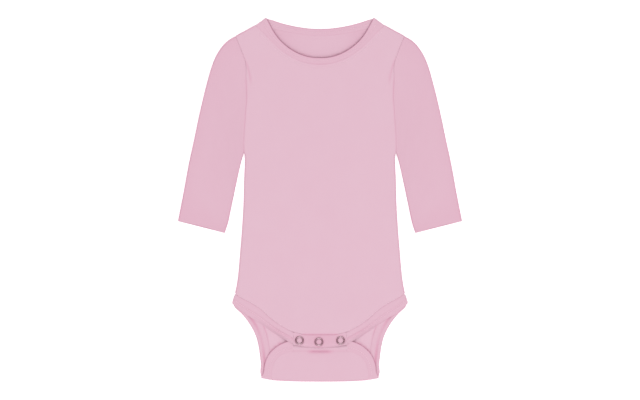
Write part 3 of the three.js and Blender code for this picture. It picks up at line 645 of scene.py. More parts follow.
def back_points(sizes):
    """Middle of the back's cloth, from the neck round the crotch to the flap, and its shade."""
    cell = sizes.cell / MM
    s = panel_shares(cell * BACK_CELL)
    centre = CROTCH_FOLD - CROTCH_FOLD_RISE * np.abs(s) ** 3 - CLOTH_FOLD_RADIUS - BACK_MID
    lowest = centre[0]
    upper = upper_edge(s * SHOULDER_TIP[0], NECK_BACK_ROWS, SEWN_OVERLAP)
    leg_seam = aside(LEG_BACK_ROWS[:, 2:], BACK_LEG_GAP)
    leg_seam = leg_seam[(leg_seam[:, 1] > HIP[1] + 4) & (leg_seam[:, 1] < lowest - 2)]
    flap_seam = aside(LEG_FLAP_ROWS[:, 2:], -SEWN_OVERLAP)
    corner = (read(flap_seam, lowest, 1, 0), lowest)
    end = (read(flap_seam, FLAP_TOP, 1, 0), FLAP_TOP)
    flap_seam = flap_seam[(flap_seam[:, 1] < lowest - 1) & (flap_seam[:, 1] > FLAP_TOP + 0.3)]
    side = spaced(np.concatenate([BODY_LINE, leg_seam, [corner]]), cell * BACK_CELL, STITCH_CLOSE)
    flap_side = spaced(np.concatenate([[corner], flap_seam, [end]]), cell, (), RIM_CLOSE)

    parts = (back_layer(side, upper, centre, s, sizes.crease), crotch_turn(corner[0], centre, s),
             flap_layer(flap_side, centre, s))
    points, shade = (np.concatenate(part) for part in zip(*parts))
    along = lengths(points[:, points.shape[1] // 2])
    flat = np.dstack([points[:, :, 0], np.broadcast_to(along[:, None], points.shape[:2])])
    return points, flat, shade


def sleeve_place(along, across):
    """Flat place of points at shares along a sleeve, from the cuff to the armhole, and
    across it, from the outer to the inner fold."""
    across = np.asarray(across)[..., None]
    place = 0
    for line, share in ((SLEEVE_OUTER_LINE, 1 - across), (SLEEVE_INNER_LINE, across)):
        run = lengths(line)
        place = place + along_at(line, run, along * run[-1]) * share
    top = SLEEVE_OUTER_LINE[-1] * (1 - across) + SLEEVE_INNER_LINE[-1] * across
    to_body = read(ARMHOLE_LINE, top[..., 1], 1, 0) + SEAM_GAP - top[..., 0]
    place[..., 0] += to_body * along
    return place


def sleeve_turn(along, across, fold, up):
    """Cloth that turns round one of a sleeve's folds, down from the upper layer or back up."""
    start = sleeve_place(along, across)
    out = unit(sleeve_place(along, fold) - start)
    flat = start + out * CLOTH_FOLD_RADIUS * np.sin(SLEEVE_TURN)[None, :, None]
    height = SLEEVE_MID + up * CLOTH_FOLD_RADIUS * np.cos(SLEEVE_TURN) + 0 * flat[..., 0]
    return np.dstack([flat, height])


def sleeve_grid(sizes, side):
    """Middle of a sleeve's cloth as rings from the cuff to the armhole, and its shade."""
    cell = sizes.cell / MM
    length = lengths(SLEEVE_OUTER_LINE)[-1]
    along = stops([0, *RIM_CLOSE, length - 2.4, length - 0.8, length], cell)[:, None] / length
    width = size_of(sleeve_place(along, 1) - sleeve_place(along, 0))
    inset = (CLOTH_FOLD_RADIUS + BACK_MID) / width
    shares = np.linspace(0, 1, math.ceil(width.max() / cell) + 1)[None, :]
    lay = sleeve_place(along, inset + (1 - 2 * inset) * shares)
    creases = relief(lay[..., 0], lay[..., 1], SLEEVE_CREASES[side], sizes.crease)
    creases = creases * ramp(shares, 0, 0.125) * ramp(shares, 1, 0.875)
    to_arm = (1 - along) * length
    in_line = below_tuck(lay[..., 1])
    valley = seam_dip(to_arm, sizes.valley / MM * (0.4 + 1.4 * in_line))
    top = np.dstack([lay, SLEEVE_MID + CLOTH_FOLD_RADIUS + creases - valley])
    # The upper layer reaches a little past the lower one at the cuff
    step = 1.1 * np.sin(np.pi * shares) * ramp(along, 1 / 12, 0)
    top[..., :2] -= step[..., None] * unit(lay[:1] - lay[1:2])
    low = np.dstack([lay, BACK_MID + 0.7 * np.abs(creases)])[:, ::-1]
    points = np.concatenate([top, sleeve_turn(along, 1 - inset, 1, 1), low,
                             sleeve_turn(along, inset, 0, -1)], axis=1)

    steps = size_of(np.diff(np.concatenate([points, points[:, :1]], axis=1), axis=1))
    girth = np.concatenate([np.zeros((len(points), 1)), np.cumsum(steps, axis=1)], axis=1)
    run = np.broadcast_to(along * length, girth.shape)
    points = np.dstack([side * points[..., 0], y_of(points[..., 1]), points[..., 2]])
    # Painted shade: darker round the folds and on the underside, towards the cuff, near the folds
    # and along the armhole seam
    shade = np.full(points.shape[:2], RIM_SHADE)
    shade[:, :shares.size] = (SLEEVE_SHADE + 0.12 * ramp(along, 0.2, 0)
                              + 0.1 * np.exp(-np.minimum(shares, 1 - shares) * 16)
                              + (0.05 + 0.3 * in_line) * band(to_arm, 1.3))
    shade[:, shares.size + SLEEVE_TURN.size:-SLEEVE_TURN.size] = UNDERSIDE_SHADE
    return points, np.dstack([girth, run]), shade


def flat_stations(rows, height, up, lifted=False):
    """Stations of a binding that lies flat, its face up, 1, or down, -1: the folded edge, the
    seam and the normal at each."""
    x, down = rows[:, ::2], rows[:, 1::2]
    lift = snap_lift(x, down) if lifted else 0
    ends = np.dstack([x, y_of(down), height + lift + 0 * x])
    return np.concatenate([ends, np.broadcast_to([0, 0, up], (len(rows), 1, 3))], axis=1)


def fold_stations(line):
    """Stations round a fold of a binding, from face up to face down."""
    edge, seam, out = line
    turn = np.linspace(0, np.pi, 13)
    normal = np.column_stack([np.outer(np.sin(turn), out), np.cos(turn)])
    offset = normal * BINDING_FOLD_RADIUS
    offset[:, 2] += BINDING_BACK_MID + BINDING_FOLD_RADIUS
    return np.stack([[*edge, 0] + offset, [*seam, 0] + offset, normal], axis=1)


def on_side(stations, side):
    """Stations on the garment's left side, 1, or mirrored to its right side, -1."""
    return stations * np.array([side, 1, 1])


def binding_grid(stations, wall, share, outer, inner, taper, fall, base, line, droop):
    """Closed sections of a folded binding: a rounded fold, a stitched row and a seam. Each
    station has its row's share of the width, the row's depth on the outer and inner face,
    how much the fold is thinned and the seam falls, the base shade, the painted shade line
    at the fold and how far the fold droops."""
    edge, seam, normal = stations.transpose(1, 0, 2)
    width = size_of(seam - edge)[:, None]
    across = (seam - edge) / width
    share, outer, inner, taper, fall, base, line, droop = (
        value[:, None] for value in (share, outer, inner, taper, fall, base, line, droop))
    half = wall / 2
    near = np.zeros_like(width) + [0, 0.1, 0.3, 0.6, 1.0]
    asides = np.concatenate([near, 1.6 + (width - 2.6) * np.linspace(0, 1, 15),
                             width - [0.5, 0.2, 0]], axis=1)
    to_seam = width - asides
    row = width * share
    groove = band(asides - row, 1.2)
    puff = np.sin(np.pi * np.clip(asides / row, 0, 1)) + np.sin(
        np.pi * np.clip((asides - row) / (width - row), 0, 1))
    thin = 1 - taper * ramp(asides, 5, 0)
    round_off = thin * half * rounding(asides, thin * half) + 0.3 * rounding(to_seam, 0.4)
    swell = 0.12 * puff * ramp(asides, 0, 1) - fall * ramp(to_seam, 4, 0)
    # The face that lies on the surface below, which has no groove, stays flat
    lifted = np.clip(outer / 0.05, 0, 1)
    top = half * (2 * thin - 1) - round_off - outer * groove + lifted * swell
    low = -half + round_off + inner * groove - swell
    middle = edge[:, None] + asides[..., None] * across[:, None]
    middle[..., 2] -= droop * np.clip(1 - asides / width, 0, 1) ** 2.5
    upper = middle + top[..., None] * normal[:, None]
    lower = middle + low[..., None] * normal[:, None]
    points = np.concatenate([upper, lower[:, :0:-1]], axis=1)
    girth = np.concatenate([asides, 2 * width - asides[:, :0:-1], 2 * width], axis=1)
    run = np.broadcast_to(lengths((edge + seam) / 2)[:, None], girth.shape)
    # Painted shade: the base level, a dark line along the folded edge, a faint one at the seam, and
    # the row's groove darkened, more on the inner face
    base_and_painted_shade = base + line * band(asides, 0.75) + 0.1 * band(to_seam, 0.9)
    painted_shade = band(asides - row, 1.7)
    shade = np.concatenate([base_and_painted_shade + 0.4 * painted_shade * outer,
                            (base_and_painted_shade + 1.3 * painted_shade * inner)[:, :0:-1]], axis=1)
    return points, np.dstack([girth, run]), shade


def neck_stations():
    """The neck binding's stations round the whole loop, and which of them face up."""
    front = flat_stations(NECK_FRONT_ROWS, FRONT_MID, 1)
    front[:, 0, 2] += NECK_EDGE_RISE * ramp(np.abs(front[:, 0, 0]), 60, 44)
    fold = fold_stations(NECK_FOLD_LINE)
    back = flat_stations(NECK_BACK_ROWS[::-1], BINDING_BACK_MID, -1)
    stations = np.concatenate([front[:-1], fold, back[1:-1], on_side(fold, -1)[:0:-1]])
    facing = np.concatenate([np.ones(len(front) - 1), np.linspace(1, 0, len(fold)),
                             np.zeros(len(back) - 2), np.linspace(0, 1, len(fold))[:-1]])
    return stations, facing


def leg_stations(side):
    """A leg binding's stations from the front strip round the leg to the flap's strip."""
    front = flat_stations(LEG_FRONT_ROWS, FRONT_MID, 1, lifted=True)
    back = flat_stations(LEG_BACK_ROWS, BINDING_BACK_MID, -1)
    flap = flat_stations(LEG_FLAP_ROWS, FRONT_MID, 1)
    hip, bottom = fold_stations(HIP_FOLD_LINE), fold_stations(BOTTOM_FOLD_LINE)[::-1]
    parts = [front[:-1], hip, back[1:-1], bottom, flap[1:]]
    facing = np.concatenate([np.linspace(a, b, len(part)) for part, a, b in zip(
        parts, (0, 0, 1, 1, 2), (0, 1, 1, 2, 2))])
    # The front's folded edge hangs down from the lifted seam to rest on the back
    droop = np.zeros(len(facing))
    rest = np.interp(np.abs(parts[0][:, 0, 0]), *zip(*LEG_EDGE_REST))
    droop[:len(parts[0])] = parts[0][:, 0, 2] - rest
    return on_side(np.concatenate(parts), side), facing, droop


def node(tree, kind, inputs=None, **settings):
    """Adds a node with its settings, and its inputs as values or as links."""
    made = tree.nodes.new(kind)
    for key, value in settings.items():
        setattr(made, key, value)
    for key, value in (inputs or {}).items():
        if isinstance(value, bpy.types.NodeSocket):
            tree.links.new(value, made.inputs[key])
        else:
            made.inputs[key].default_value = value
    return made


def new_material(name, **values):
    """Material whose shader's own sockets have the given values."""
    material = bpy.data.materials.new(name)
    material.use_nodes = True
    shader = material.node_tree.nodes["Principled BSDF"]
    for key, value in values.items():
        shader.inputs[key.replace("_", " ")].default_value = value
    return material, material.node_tree, shader


def arithmetic(tree, operation, *values):
    """One step of arithmetic on values and links."""
    return node(tree, "ShaderNodeMath", dict(enumerate(values)), operation=operation).outputs[0]


def noise(tree, place, grain, detail=2):
    """Soft noise, with the size of its grains in metres."""
    return node(tree, "ShaderNodeTexNoise",
                {"Vector": place, "Scale": 1 / grain, "Detail": detail}).outputs["Fac"]


def wave(tree, place, direction, period):
    """Sine bands a period apart, in metres, across one direction."""
    return node(tree, "ShaderNodeTexWave",
                {"Vector": place, "Scale": math.pi / (10 * period), "Distortion": 0.6,
                 "Detail": 1, "Detail Scale": 2}, bands_direction=direction).outputs["Fac"]


def opaque(colour, share=1):
    """A colour, darkened to a share of itself, with no clearness."""
    return (*[part * share for part in colour], 1)


def blend(tree, share, first, second):
    """A colour that goes from the first to the second."""
    return node(tree, "ShaderNodeMix", {"Factor": share, "A": first, "B": second},
                data_type="RGBA").outputs["Result"]


def emboss(tree, shader, height, strength, distance):
    """Gives a surface its finest relief, which is a distance high in metres."""
    bump = node(tree, "ShaderNodeBump", {"Height": height, "Strength": strength,
                                         "Distance": distance})
    tree.links.new(bump.outputs["Normal"], shader.inputs["Normal"])


def cotton_jersey(name, tint):
    """Single jersey of combed cotton, dyed in the piece: matt, with a short soft nap that
    lightens it at a glance, and columns of loops too fine to show but in their soft grain."""
    colours, knit = bpy.context.scene.bodysuit_colours, bpy.context.scene.bodysuit_knit
    material, tree, shader = new_material(
        name, Roughness=0.88, Sheen_Weight=0.22, Sheen_Roughness=0.45,
        Specular_IOR_Level=0.25, Sheen_Tint=(1, 0.9, 0.94, 1))
    flat = node(tree, "ShaderNodeUVMap", uv_map="Flat").outputs["UV"]
    shade = node(tree, "ShaderNodeAttribute", attribute_name="shade").outputs["Fac"]
    # Dye takes unevenly over a few centimetres, and the yarn itself over a millimetre
    mottle = arithmetic(tree, "MULTIPLY_ADD", noise(tree, flat, 0.03), 0.16, tint - 0.08)
    mottle = arithmetic(tree, "MULTIPLY_ADD", noise(tree, flat, 0.0014), 0.12, mottle)
    # Painted shade: the shade attribute takes the pink towards the deep and the inmost painted shade
    # pinks
    depth = arithmetic(tree, "MULTIPLY", arithmetic(tree, "ADD", mottle, shade), 0.5)
    tone_and_painted_shade = node(tree, "ShaderNodeValToRGB", {"Fac": depth})
    tone_and_painted_shade.color_ramp.elements.new(0.5)
    for stop, colour in zip(tone_and_painted_shade.color_ramp.elements,
                            (colours.jersey, colours.painted_shade, colours.darkest_painted_shade)):
        stop.color = opaque(colour)
    tree.links.new(tone_and_painted_shade.outputs["Color"], shader.inputs["Base Color"])
    loops = arithmetic(tree, "MULTIPLY", wave(tree, flat, "X", knit.wale),
                       wave(tree, flat, "Y", knit.course))
    emboss(tree, shader, loops, 0.5, knit.relief)
    return material


def sewing_thread(name):
    """Spun polyester thread, dyed to match and a little lighter and glossier than the cloth."""
    colours = bpy.context.scene.bodysuit_colours
    material, tree, shader = new_material(name, Roughness=0.55, Sheen_Weight=0.2,
                                          Specular_IOR_Level=0.4)
    place = node(tree, "ShaderNodeTexCoord").outputs["Object"]
    twist = blend(tree, noise(tree, place, 0.0004), opaque(colours.thread),
                  opaque(colours.thread, 0.92))
    tree.links.new(twist, shader.inputs["Base Color"])
    return material


def nickel_plate(name):
    """Pressed brass plated with nickel: a warm grey mirror, tumbled so that it is finely
    scuffed, with a painted highlight of lighter nickel at the top and foot of each ring."""
    colours = bpy.context.scene.bodysuit_colours
    material, tree, shader = new_material(name, Metallic=1.0)
    place = node(tree, "ShaderNodeTexCoord").outputs["Object"]
    scuff = noise(tree, place, 0.0009, 4)
    rough = node(tree, "ShaderNodeMapRange", {"Value": scuff, "To Min": 0.16, "To Max": 0.34})
    tree.links.new(rough.outputs["Result"], shader.inputs["Roughness"])
    plate = blend(tree, scuff, opaque(colours.nickel, 0.8), opaque(colours.nickel))
    # Painted highlight: the ring's attribute blends in the lighter nickel
    painted_highlight = node(tree, "ShaderNodeAttribute", attribute_name="painted_highlight").outputs["Fac"]
    plate = blend(tree, painted_highlight, plate, opaque(colours.painted_highlight_nickel))
    tree.links.new(plate, shader.inputs["Base Color"])
    return material


def backdrop_paper(name):
    """White backdrop paper, lit so that it burns out: matt, with a faint tooth."""
    material, tree, shader = new_material(
        name, Roughness=0.95, Specular_IOR_Level=0.1, Emission_Strength=0.3,
        Base_Color=opaque(bpy.context.scene.bodysuit_colours.floor), Emission_Color=(1, 1, 1, 1))
    place = node(tree, "ShaderNodeTexCoord").outputs["Object"]
    emboss(tree, shader, noise(tree, place, 0.002), 0.1, 0.0001)
    return material


def material_of(name, make, *values):
    """The material of that name, made once."""
    return bpy.data.materials.get(name) or make(name, *values)


class FrontOperator(bpy.types.Operator):
    """Front panel of jersey, from the shoulders to the leg seams"""
    bl_idname = "bodysuit.front"
    bl_label = "Front panel"

    def execute(self, context):
        sizes = context.scene.bodysuit_cloth
        jersey_sheet("front_cloth", front_points(sizes), sizes.wall, "front_panel", FRONT_SHEET,
                     ["back_cloth"])
        return {"FINISHED"}


class BackOperator(bpy.types.Operator):
    """Back panel of jersey, folded up at the crotch into the flap"""
    bl_idname = "bodysuit.back"
    bl_label = "Back panel and flap"

    def execute(self, context):
        sizes = context.scene.bodysuit_cloth
        jersey_sheet("back_cloth", back_points(sizes), sizes.wall, "back_panel", BACK_SHEET,
                     ["paper_floor"])
        return {"FINISHED"}


class SleevesOperator(bpy.types.Operator):
    """Two long sleeves of jersey, each a tube that lies flat"""
    bl_idname = "bodysuit.sleeves"
    bl_label = "Sleeves"

    def execute(self, context):
        sizes = context.scene.bodysuit_cloth
        for name, side in SIDES.items():
            jersey_sheet(f"sleeve_cloth_{name}", sleeve_grid(sizes, side), sizes.wall,
                         f"sleeve_{name}", SLEEVE_SHEET, ["paper_floor"], loop_columns=True)
        return {"FINISHED"}


class NeckOperator(bpy.types.Operator):
    """Neck binding, one loop of folded jersey"""
    bl_idname = "bodysuit.neck"
    bl_label = "Neck binding"

    def execute(self, context):
        stations, facing = neck_stations()
        wall = context.scene.bodysuit_cloth.binding / MM
        even = np.ones(len(stations))
        # Painted shade: line is a dark line along the folded edge, darker where the front's edge
        # stands over the back
        points, flat, shade = binding_grid(
            stations, wall, NECK_ROW_SHARE * even, outer=0.2 * facing, inner=0.08 * even,
            taper=0 * even, fall=0.12 + 0.13 * facing, base=0.14 + 0.02 * facing,
            line=0.9 + 0.7 * facing, droop=0 * even)
        flat = np.concatenate([flat, flat[:1] + [0, flat[-1, 0, 1] + 2]])
        binding_sheet("neck_binding_cloth", (points, flat, shade), "neck_binding", NECK_SHEET,
                      ["front_cloth", "back_cloth"], loop_rows=True)
        return {"FINISHED"}


class LegsOperator(bpy.types.Operator):
    """Two leg bindings of folded jersey, each from the front strip to the flap's strip"""
    bl_idname = "bodysuit.legs"
    bl_label = "Leg bindings"

    def execute(self, context):
        wall = context.scene.bodysuit_cloth.binding / MM
        for name, side in SIDES.items():
            stations, facing, droop = leg_stations(side)
            on_back = 1 - np.abs(facing - 1)
            on_front = np.clip(1 - facing, 0, 1)
            on_flap = np.clip(facing - 1, 0, 1)
            share = (LEG_ROW_SHARE * on_front + BACK_LEG_ROW_SHARE * on_back
                     + FLAP_ROW_SHARE * on_flap)
            # The front's groove is deepest near the snaps, and the back's comes and goes
            front_depth = 0.35 + 0.55 * ramp(np.abs(stations[:, 0, 0]), 74, 50)
            down = y_of(stations[:, 0, 1])
            back_depth = 0.5 * (0.8 + 0.35 * np.cos((down - 360) / 8 + 0.4 * side))
            # Painted shade: line darkens the folded edge, faintly on the front, more on the back and
            # most round the flap
            grid = binding_grid(
                stations, wall, share, outer=front_depth * on_front + 0.1 * on_flap,
                inner=0.05 + back_depth * on_back, taper=0.7 * on_front,
                fall=0.3 - 0.1 * on_front, base=0.16 - 0.04 * on_back,
                line=0.05 + 0.95 * on_flap + 0.5 * on_back, droop=droop)
            binding_sheet(f"leg_binding_cloth_{name}", grid, f"leg_binding_{name}", LEG_SHEET,
                          ["back_cloth"], caps=True)
        return {"FINISHED"}


def front_strip_shape(x, down, share):
    """Rise and shade of the front's snap strip, domed and pressed at each snap."""
    low = front_strip_low(x)
    to_low = low - down
    firm = between_snaps(x)
    away = np.min([np.hypot(x - sx, down - sd) for sx, sd in SNAPS.values()], axis=0)
    inside = np.maximum(0, 1 - (x / 25) ** 2)
    dome = 0.3 * ramp(away, 3.4, 0)
    sag = 0.8 * inside * ramp(away, 5, 13)
    pressed = 0.22 * ramp(away, SNAP_RADIUS + 1.6, SNAP_RADIUS) * ramp(away, 2.6, 3.4)
    pucker = 0.12 * np.sin(np.arctan2(down - SNAP_LINE, x) * 9) * ramp(away, 12, 6)
    pucker = pucker * ramp(away, SNAP_RADIUS, SNAP_RADIUS + 1.5)
    # Its lower edge rolls under, and at its ends the whole strip drapes down
    rolled = np.clip(1 - to_low / 3.2, 0, 1) ** 3
    drape = np.clip(1 - to_low / (low - front_strip_seam(x)), 0, 1) ** 2.5
    curl = 2.3 * (rolled + (drape - rolled) * ramp(np.abs(x), 26, 31.4))
    tucked = 0.9 * ramp(np.abs(x), STRIP_HALF, STRIP_HALF + 1.1) - 0.2 * ramp(np.abs(x), 27, 31)
    seam = (0.3 + 0.3 * firm) * rounding(share, 0.08)
    # Painted shade between the snaps, in a ring just outside each snap and along the upper seam, and
    # painted light along the lower edge, which lightens its shadow line
    shade = STRIP_SHADE + 0.2 * firm * inside + 0.3 * ramp(np.abs(away - 6), 1.4, 0)
    shade = shade + 0.5 * firm * band(share, 1 / 16) - 0.3 * np.exp(-to_low / 2)
    return dome - sag - pressed + pucker - curl - tucked - seam, shade


def flap_strip_shape(x, down, share):
    """Rise and shade of the flap's snap strip, which swells below the front's."""
    puff = 1.1 * ramp(down, 391, 395) - 0.6 * ramp(down, 395, 400.4)
    # Painted shade: darker from just below the front strip's edge down to the dent, and in the dent
    return puff - dent(x, down), 0.3 * ramp(down, 396, 399) + 1.1 * dent(x, down)


def strip_grid(upper, lower, middle, shape):
    """Middle of a snap strip's cloth between two edges; shape gives its rise and shade."""
    half = STRIP_HALF + STRIP_TUCKED
    x = stops([-half, -half + 0.6, half - 0.6, half], 0.9)[None, :]
    share = stops([0, 0.04, 0.96, 1], 0.055)[:, None]
    down = upper(x) + (lower(x) - upper(x)) * share
    rise, shade = shape(x, down, share)
    x = x + 0 * down
    return np.dstack([x, y_of(down), middle + rise]), np.dstack([x, down]), shade


class StripsOperator(bpy.types.Operator):
    """Two folded strips that hold the snaps, one on the front and one on the flap"""
    bl_idname = "bodysuit.strips"
    bl_label = "Snap strips"

    def execute(self, context):
        grids = {
            "front": strip_grid(front_strip_seam, front_strip_low, FRONT_STRIP_MID,
                                front_strip_shape),
            "flap": strip_grid(lambda x: FLAP_STRIP_TOP + 0 * x, lambda x: FLAP_STRIP_LOW + 0 * x,
                               FLAP_STRIP_MID, flap_strip_shape),
        }
        for name, grid in grids.items():
            jersey_sheet(f"{name}_strip_cloth", grid, context.scene.bodysuit_cloth.tape,
                         f"{name}_snap_strip", STRIP_SHEET, ["back_cloth"])
        return {"FINISHED"}


class SnapsOperator(bpy.types.Operator):
    """Pressed rings of the three snaps, and plating on the parts behind them"""
    bl_idname = "bodysuit.snaps"
    bl_label = "Ring snaps"

    def execute(self, context):
        plate = material_of("nickel_plated_brass", nickel_plate)
        first = None
        for name, (x, down) in SNAPS.items():
            low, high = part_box(f"snap_top_ring_{name}")
            place = Vector((x * MM, y_of(down) * MM, low.z - RING_SINK * MM))
            if first is None:
                piece = first = self.ring(place, high.z - place.z + RING_RISE * MM)
                first_place = place
            else:
                piece = add_object("ring", first.data.copy())
                piece.data.transform(Matrix.Translation(place - first_place))
            piece.name = piece.data.name = f"snap_ring_{name}"
            hand_over(piece, plate, "snap_steel", f"snap_top_ring_{name}")
        for cad_name, cad_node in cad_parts.items():
            if cad_name.startswith(("snap_socket", "snap_stud", "snap_back_ring")):
                cad_node.data.materials.clear()
                cad_node.data.materials.append(plate)
        return {"FINISHED"}

    def ring(self, place, height):
        """One pressed ring, a round wire that is flattened and spun about the snap's axis."""
        bpy.ops.object.select_all(action="DESELECT")
        middle = (SNAP_RADIUS + SNAP_BORE) / 2 * MM
        half = (SNAP_RADIUS - SNAP_BORE) / 2 * MM
        bpy.ops.mesh.primitive_circle_add(vertices=RING_SIDES, radius=half, fill_type="NOTHING",
                                          location=place + Vector((middle, 0, height / 2)),
                                          rotation=(math.pi / 2, 0, 0))
        piece = bpy.context.object
        bpy.ops.object.transform_apply(location=True, rotation=True, scale=True)
        for vertex in piece.data.vertices:
            up = vertex.co.z - place.z - height / 2
            vertex.co.z = place.z + height / 2 + up * height / 2 / half
        bpy.ops.object.mode_set(mode="EDIT")
        bpy.ops.mesh.select_all(action="SELECT")
        bpy.ops.mesh.spin(steps=RING_STEPS, angle=2 * math.pi, center=place, axis=(0, 0, 1))
        bpy.ops.mesh.select_all(action="SELECT")
        bpy.ops.mesh.remove_doubles(threshold=0.00001)
        bpy.ops.object.mode_set(mode="OBJECT")
        face_outwards(piece)
        # Painted highlight: each ring is lighter at its top and at its foot
        painted_highlight = piece.data.attributes.new("painted_highlight", "FLOAT", "POINT")
        for vertex in piece.data.vertices:
            out = (vertex.co - place).to_2d().normalized()
            painted_highlight.data[vertex.index].value = 0.55 * abs(out.y) ** 5
        return piece


def stitch_shape(sizes):
    """Points and faces of one stitch along X: a short thread that dives in at both ends."""
    half, radius = sizes.length / 2, sizes.thread / 2
    rings = ((-1, -0.9, 0.35), (-0.7, -0.1, 0.9), (0, 0.1, 1), (0.7, -0.1, 0.9), (1, -0.9, 0.35))
    sides = range(STITCH_SIDES)
    points = []
    for at, up, wide in rings:
        for k in sides:
            angle = k * 2 * math.pi / STITCH_SIDES
            points.append((at * half, math.cos(angle) * wide * radius,
                           (math.sin(angle) * wide + up) * radius))
    starts = [r * STITCH_SIDES for r in range(len(rings))]
    faces = [(a + k, a + (k + 1) % STITCH_SIDES, b + (k + 1) % STITCH_SIDES, b + k)
             for a, b in zip(starts, starts[1:]) for k in sides]
    faces += [tuple(reversed(sides)), tuple(starts[-1] + k for k in sides)]
    return np.array(points), faces


def stitch_row(path, surface, sizes):
    """Points of the stitches along a path of (x, y) in metres, each laid on the cloth."""
    shape, _ = stitch_shape(sizes)
    run = lengths(path)
    count = int(run[-1] / sizes.pitch)
    at = (np.arange(count) + 0.5) * run[-1] / count
    rows = []
    for spot, nearby in zip(along_at(path, run, at), along_at(path, run, at + 0.0005)):
        hit, normal, _, _ = surface.ray_cast(Vector((*spot, 0.05)), Vector((0, 0, -1)))
        if hit is None or normal.z < 0.3:
            continue
        ahead = Vector((*(nearby - spot), 0))
        ahead = (ahead - normal * ahead.dot(normal)).normalized()
        turn = np.array([ahead, normal.cross(ahead), normal]).T
        rows.append(shape @ turn.T + np.array(hit) + np.array(normal) * sizes.thread * 0.15)
    return rows


def offset_path(stations, share, beyond=0):
    """Path of a stitch row on a binding's stations, or beyond its seam, as (x, y) in metres."""
    edge, seam = stations[:, 0, :2], stations[:, 1, :2]
    return (edge + (seam - edge) * share + unit(seam - edge) * beyond) * MM


class StitchesOperator(bpy.types.Operator):
    """Rows of stitches along the neck and the legs"""
    bl_idname = "bodysuit.stitches"
    bl_label = "Stitches"

    def execute(self, context):
        sizes = context.scene.bodysuit_stitches

        def surface(name):
            found = bmesh.new()
            found.from_mesh(bpy.data.objects[name].data)
            tree = BVHTree.FromBMesh(found)
            found.free()
            return tree

        band_cloth, front_cloth = surface("neck_binding_cloth"), surface("front_cloth")
        collar = flat_stations(NECK_FRONT_ROWS, FRONT_MID, 1)[4:-4]
        nape = flat_stations(NECK_BACK_ROWS, BINDING_BACK_MID, -1)[4:-4]
        rows = stitch_row(offset_path(collar, NECK_ROW_SHARE), band_cloth, sizes)
        rows += stitch_row(offset_path(collar, 1, NECK_PANEL_ROW)[6:-6], front_cloth, sizes)
        rows += stitch_row(offset_path(nape, NAPE_ROW_SHARE), band_cloth, sizes)
        self.join("neck_stitches", rows)
        for name, side in SIDES.items():
            leg_cloth = surface(f"leg_binding_cloth_{name}")
            thigh = on_side(flat_stations(LEG_FRONT_ROWS, FRONT_MID, 1), side)
            arch = on_side(flat_stations(LEG_FLAP_ROWS, FRONT_MID, 1), side)
            rows = stitch_row(offset_path(thigh, LEG_ROW_SHARE)[2:-2], leg_cloth, sizes)
            rows += stitch_row(offset_path(thigh, 1, LEG_PANEL_ROW)[4:-4], front_cloth, sizes)
            rows += stitch_row(offset_path(arch, FLAP_ROW_SHARE)[4:], leg_cloth, sizes)
            self.join(f"leg_stitches_{name}", rows)
        return {"FINISHED"}

    def join(self, name, rows):
        """One piece of all the stitches in the rows."""
        _, faces = stitch_shape(bpy.context.scene.bodysuit_stitches)
        size = len(rows[0])
        mesh = bpy.data.meshes.new(name)
        every = [tuple(v + k * size for v in face) for k in range(len(rows)) for face in faces]
        mesh.from_pydata(np.concatenate(rows).tolist(), [], every)
        piece = add_object(name, mesh)
        face_outwards(piece)
        hand_over(piece, material_of("spun_polyester_thread", sewing_thread), "binding")


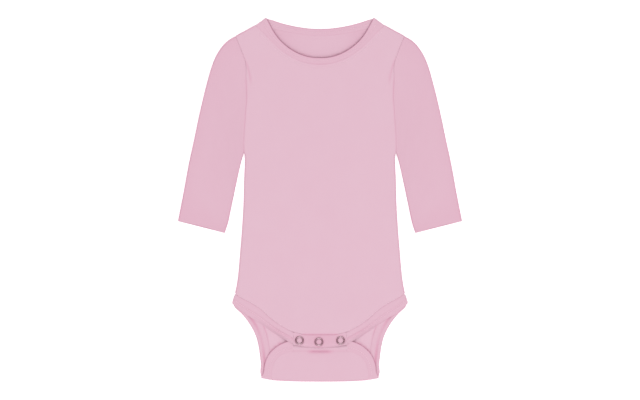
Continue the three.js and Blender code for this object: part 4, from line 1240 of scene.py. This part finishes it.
class StageOperator(bpy.types.Operator):
    """Pale paper floor, soft studio light and a camera straight above"""
    bl_idname = "bodysuit.stage"
    bl_label = "Floor, light and camera"

    def execute(self, context):
        scene = context.scene
        bpy.ops.object.select_all(action="DESELECT")
        bpy.ops.mesh.primitive_plane_add(size=6, location=(0, 0, -0.0001))
        floor = context.object
        floor.name = floor.data.name = "paper_floor"
        bpy.ops.object.transform_apply(location=True, rotation=True, scale=True)
        floor.data.materials.append(material_of("backdrop_paper", backdrop_paper))
        self.light("overhead_softbox", (0.45, -0.6, 2.6), (2.4, 1.8), 27)
        self.light("side_softbox", (-1.6, 0.9, 1.5), (0.5, 0.5), 3.3)
        scene.world = self.studio_air()
        scene.view_settings.view_transform = "Standard"
        # Far off with a long lens, as the garment is seen without perspective
        camera = bpy.data.cameras.new("overhead_camera")
        camera.sensor_width = 36
        camera.lens = 281.25
        scene.camera = add_object("overhead_camera", camera)
        scene.camera.location = (0, 0.0002, 6.009)
        return {"FINISHED"}

    def studio_air(self):
        """Light of a studio whose side walls are darker than its ceiling and its end walls."""
        world = bpy.data.worlds.new("studio_air")
        world.use_nodes = True
        tree = world.node_tree
        way = node(tree, "ShaderNodeTexCoord").outputs["Generated"]
        way = node(tree, "ShaderNodeSeparateXYZ", {"Vector": way})
        to_end = arithmetic(tree, "MULTIPLY", way.outputs["Y"], way.outputs["Y"])
        height = arithmetic(tree, "MULTIPLY_ADD", to_end, 0.55, way.outputs["Z"])
        sky = node(tree, "ShaderNodeMapRange", {"Value": height, "From Min": 0,
                                                "From Max": 0.8, "To Min": 0.08, "To Max": 0.8})
        back = tree.nodes["Background"]
        back.inputs["Color"].default_value = (1, 1, 1, 1)
        tree.links.new(sky.outputs["Result"], back.inputs["Strength"])
        return world

    def light(self, name, place, size, power):
        """Rectangular soft light that points at the middle of the garment."""
        data = bpy.data.lights.new(name, "AREA")
        data.shape = "RECTANGLE"
        data.size, data.size_y = size
        data.energy = power
        lamp = add_object(name, data)
        lamp.location = place
        lamp.visible_camera = False
        lamp.rotation_euler = (-Vector(place)).to_track_quat("-Z", "Y").to_euler()


OPERATORS = (StageOperator, BackOperator, FrontOperator, SleevesOperator, NeckOperator,
             LegsOperator, StripsOperator, SnapsOperator, StitchesOperator)
GROUPS = {"bodysuit_cloth": ClothSizes, "bodysuit_stitches": StitchSizes,
          "bodysuit_knit": KnitSizes, "bodysuit_colours": Colours}


class BodysuitPanel(bpy.types.Panel):
    """Sizes, colours and pieces of the bodysuit"""
    bl_idname = "VIEW3D_PT_bodysuit"
    bl_label = "Bodysuit"
    bl_space_type = "VIEW_3D"
    bl_region_type = "UI"
    bl_category = "Bodysuit"

    def draw(self, context):
        for name, group in GROUPS.items():
            box = self.layout.box()
            for key in group.__annotations__:
                box.prop(getattr(context.scene, name), key)
        for operator in OPERATORS:
            self.layout.operator(operator.bl_idname)


def register():
    for made in (*GROUPS.values(), *OPERATORS, BodysuitPanel):
        bpy.utils.register_class(made)
    for name, group in GROUPS.items():
        setattr(bpy.types.Scene, name, bpy.props.PointerProperty(type=group))


def unregister():
    for name in GROUPS:
        delattr(bpy.types.Scene, name)
    for made in (BodysuitPanel, *reversed(OPERATORS), *reversed(GROUPS.values())):
        bpy.utils.unregister_class(made)


def main():
    register()
    for operator in OPERATORS:
        group, name = operator.bl_idname.split(".")
        getattr(getattr(bpy.ops, group), name)()


if __name__ == "__main__":
    main()
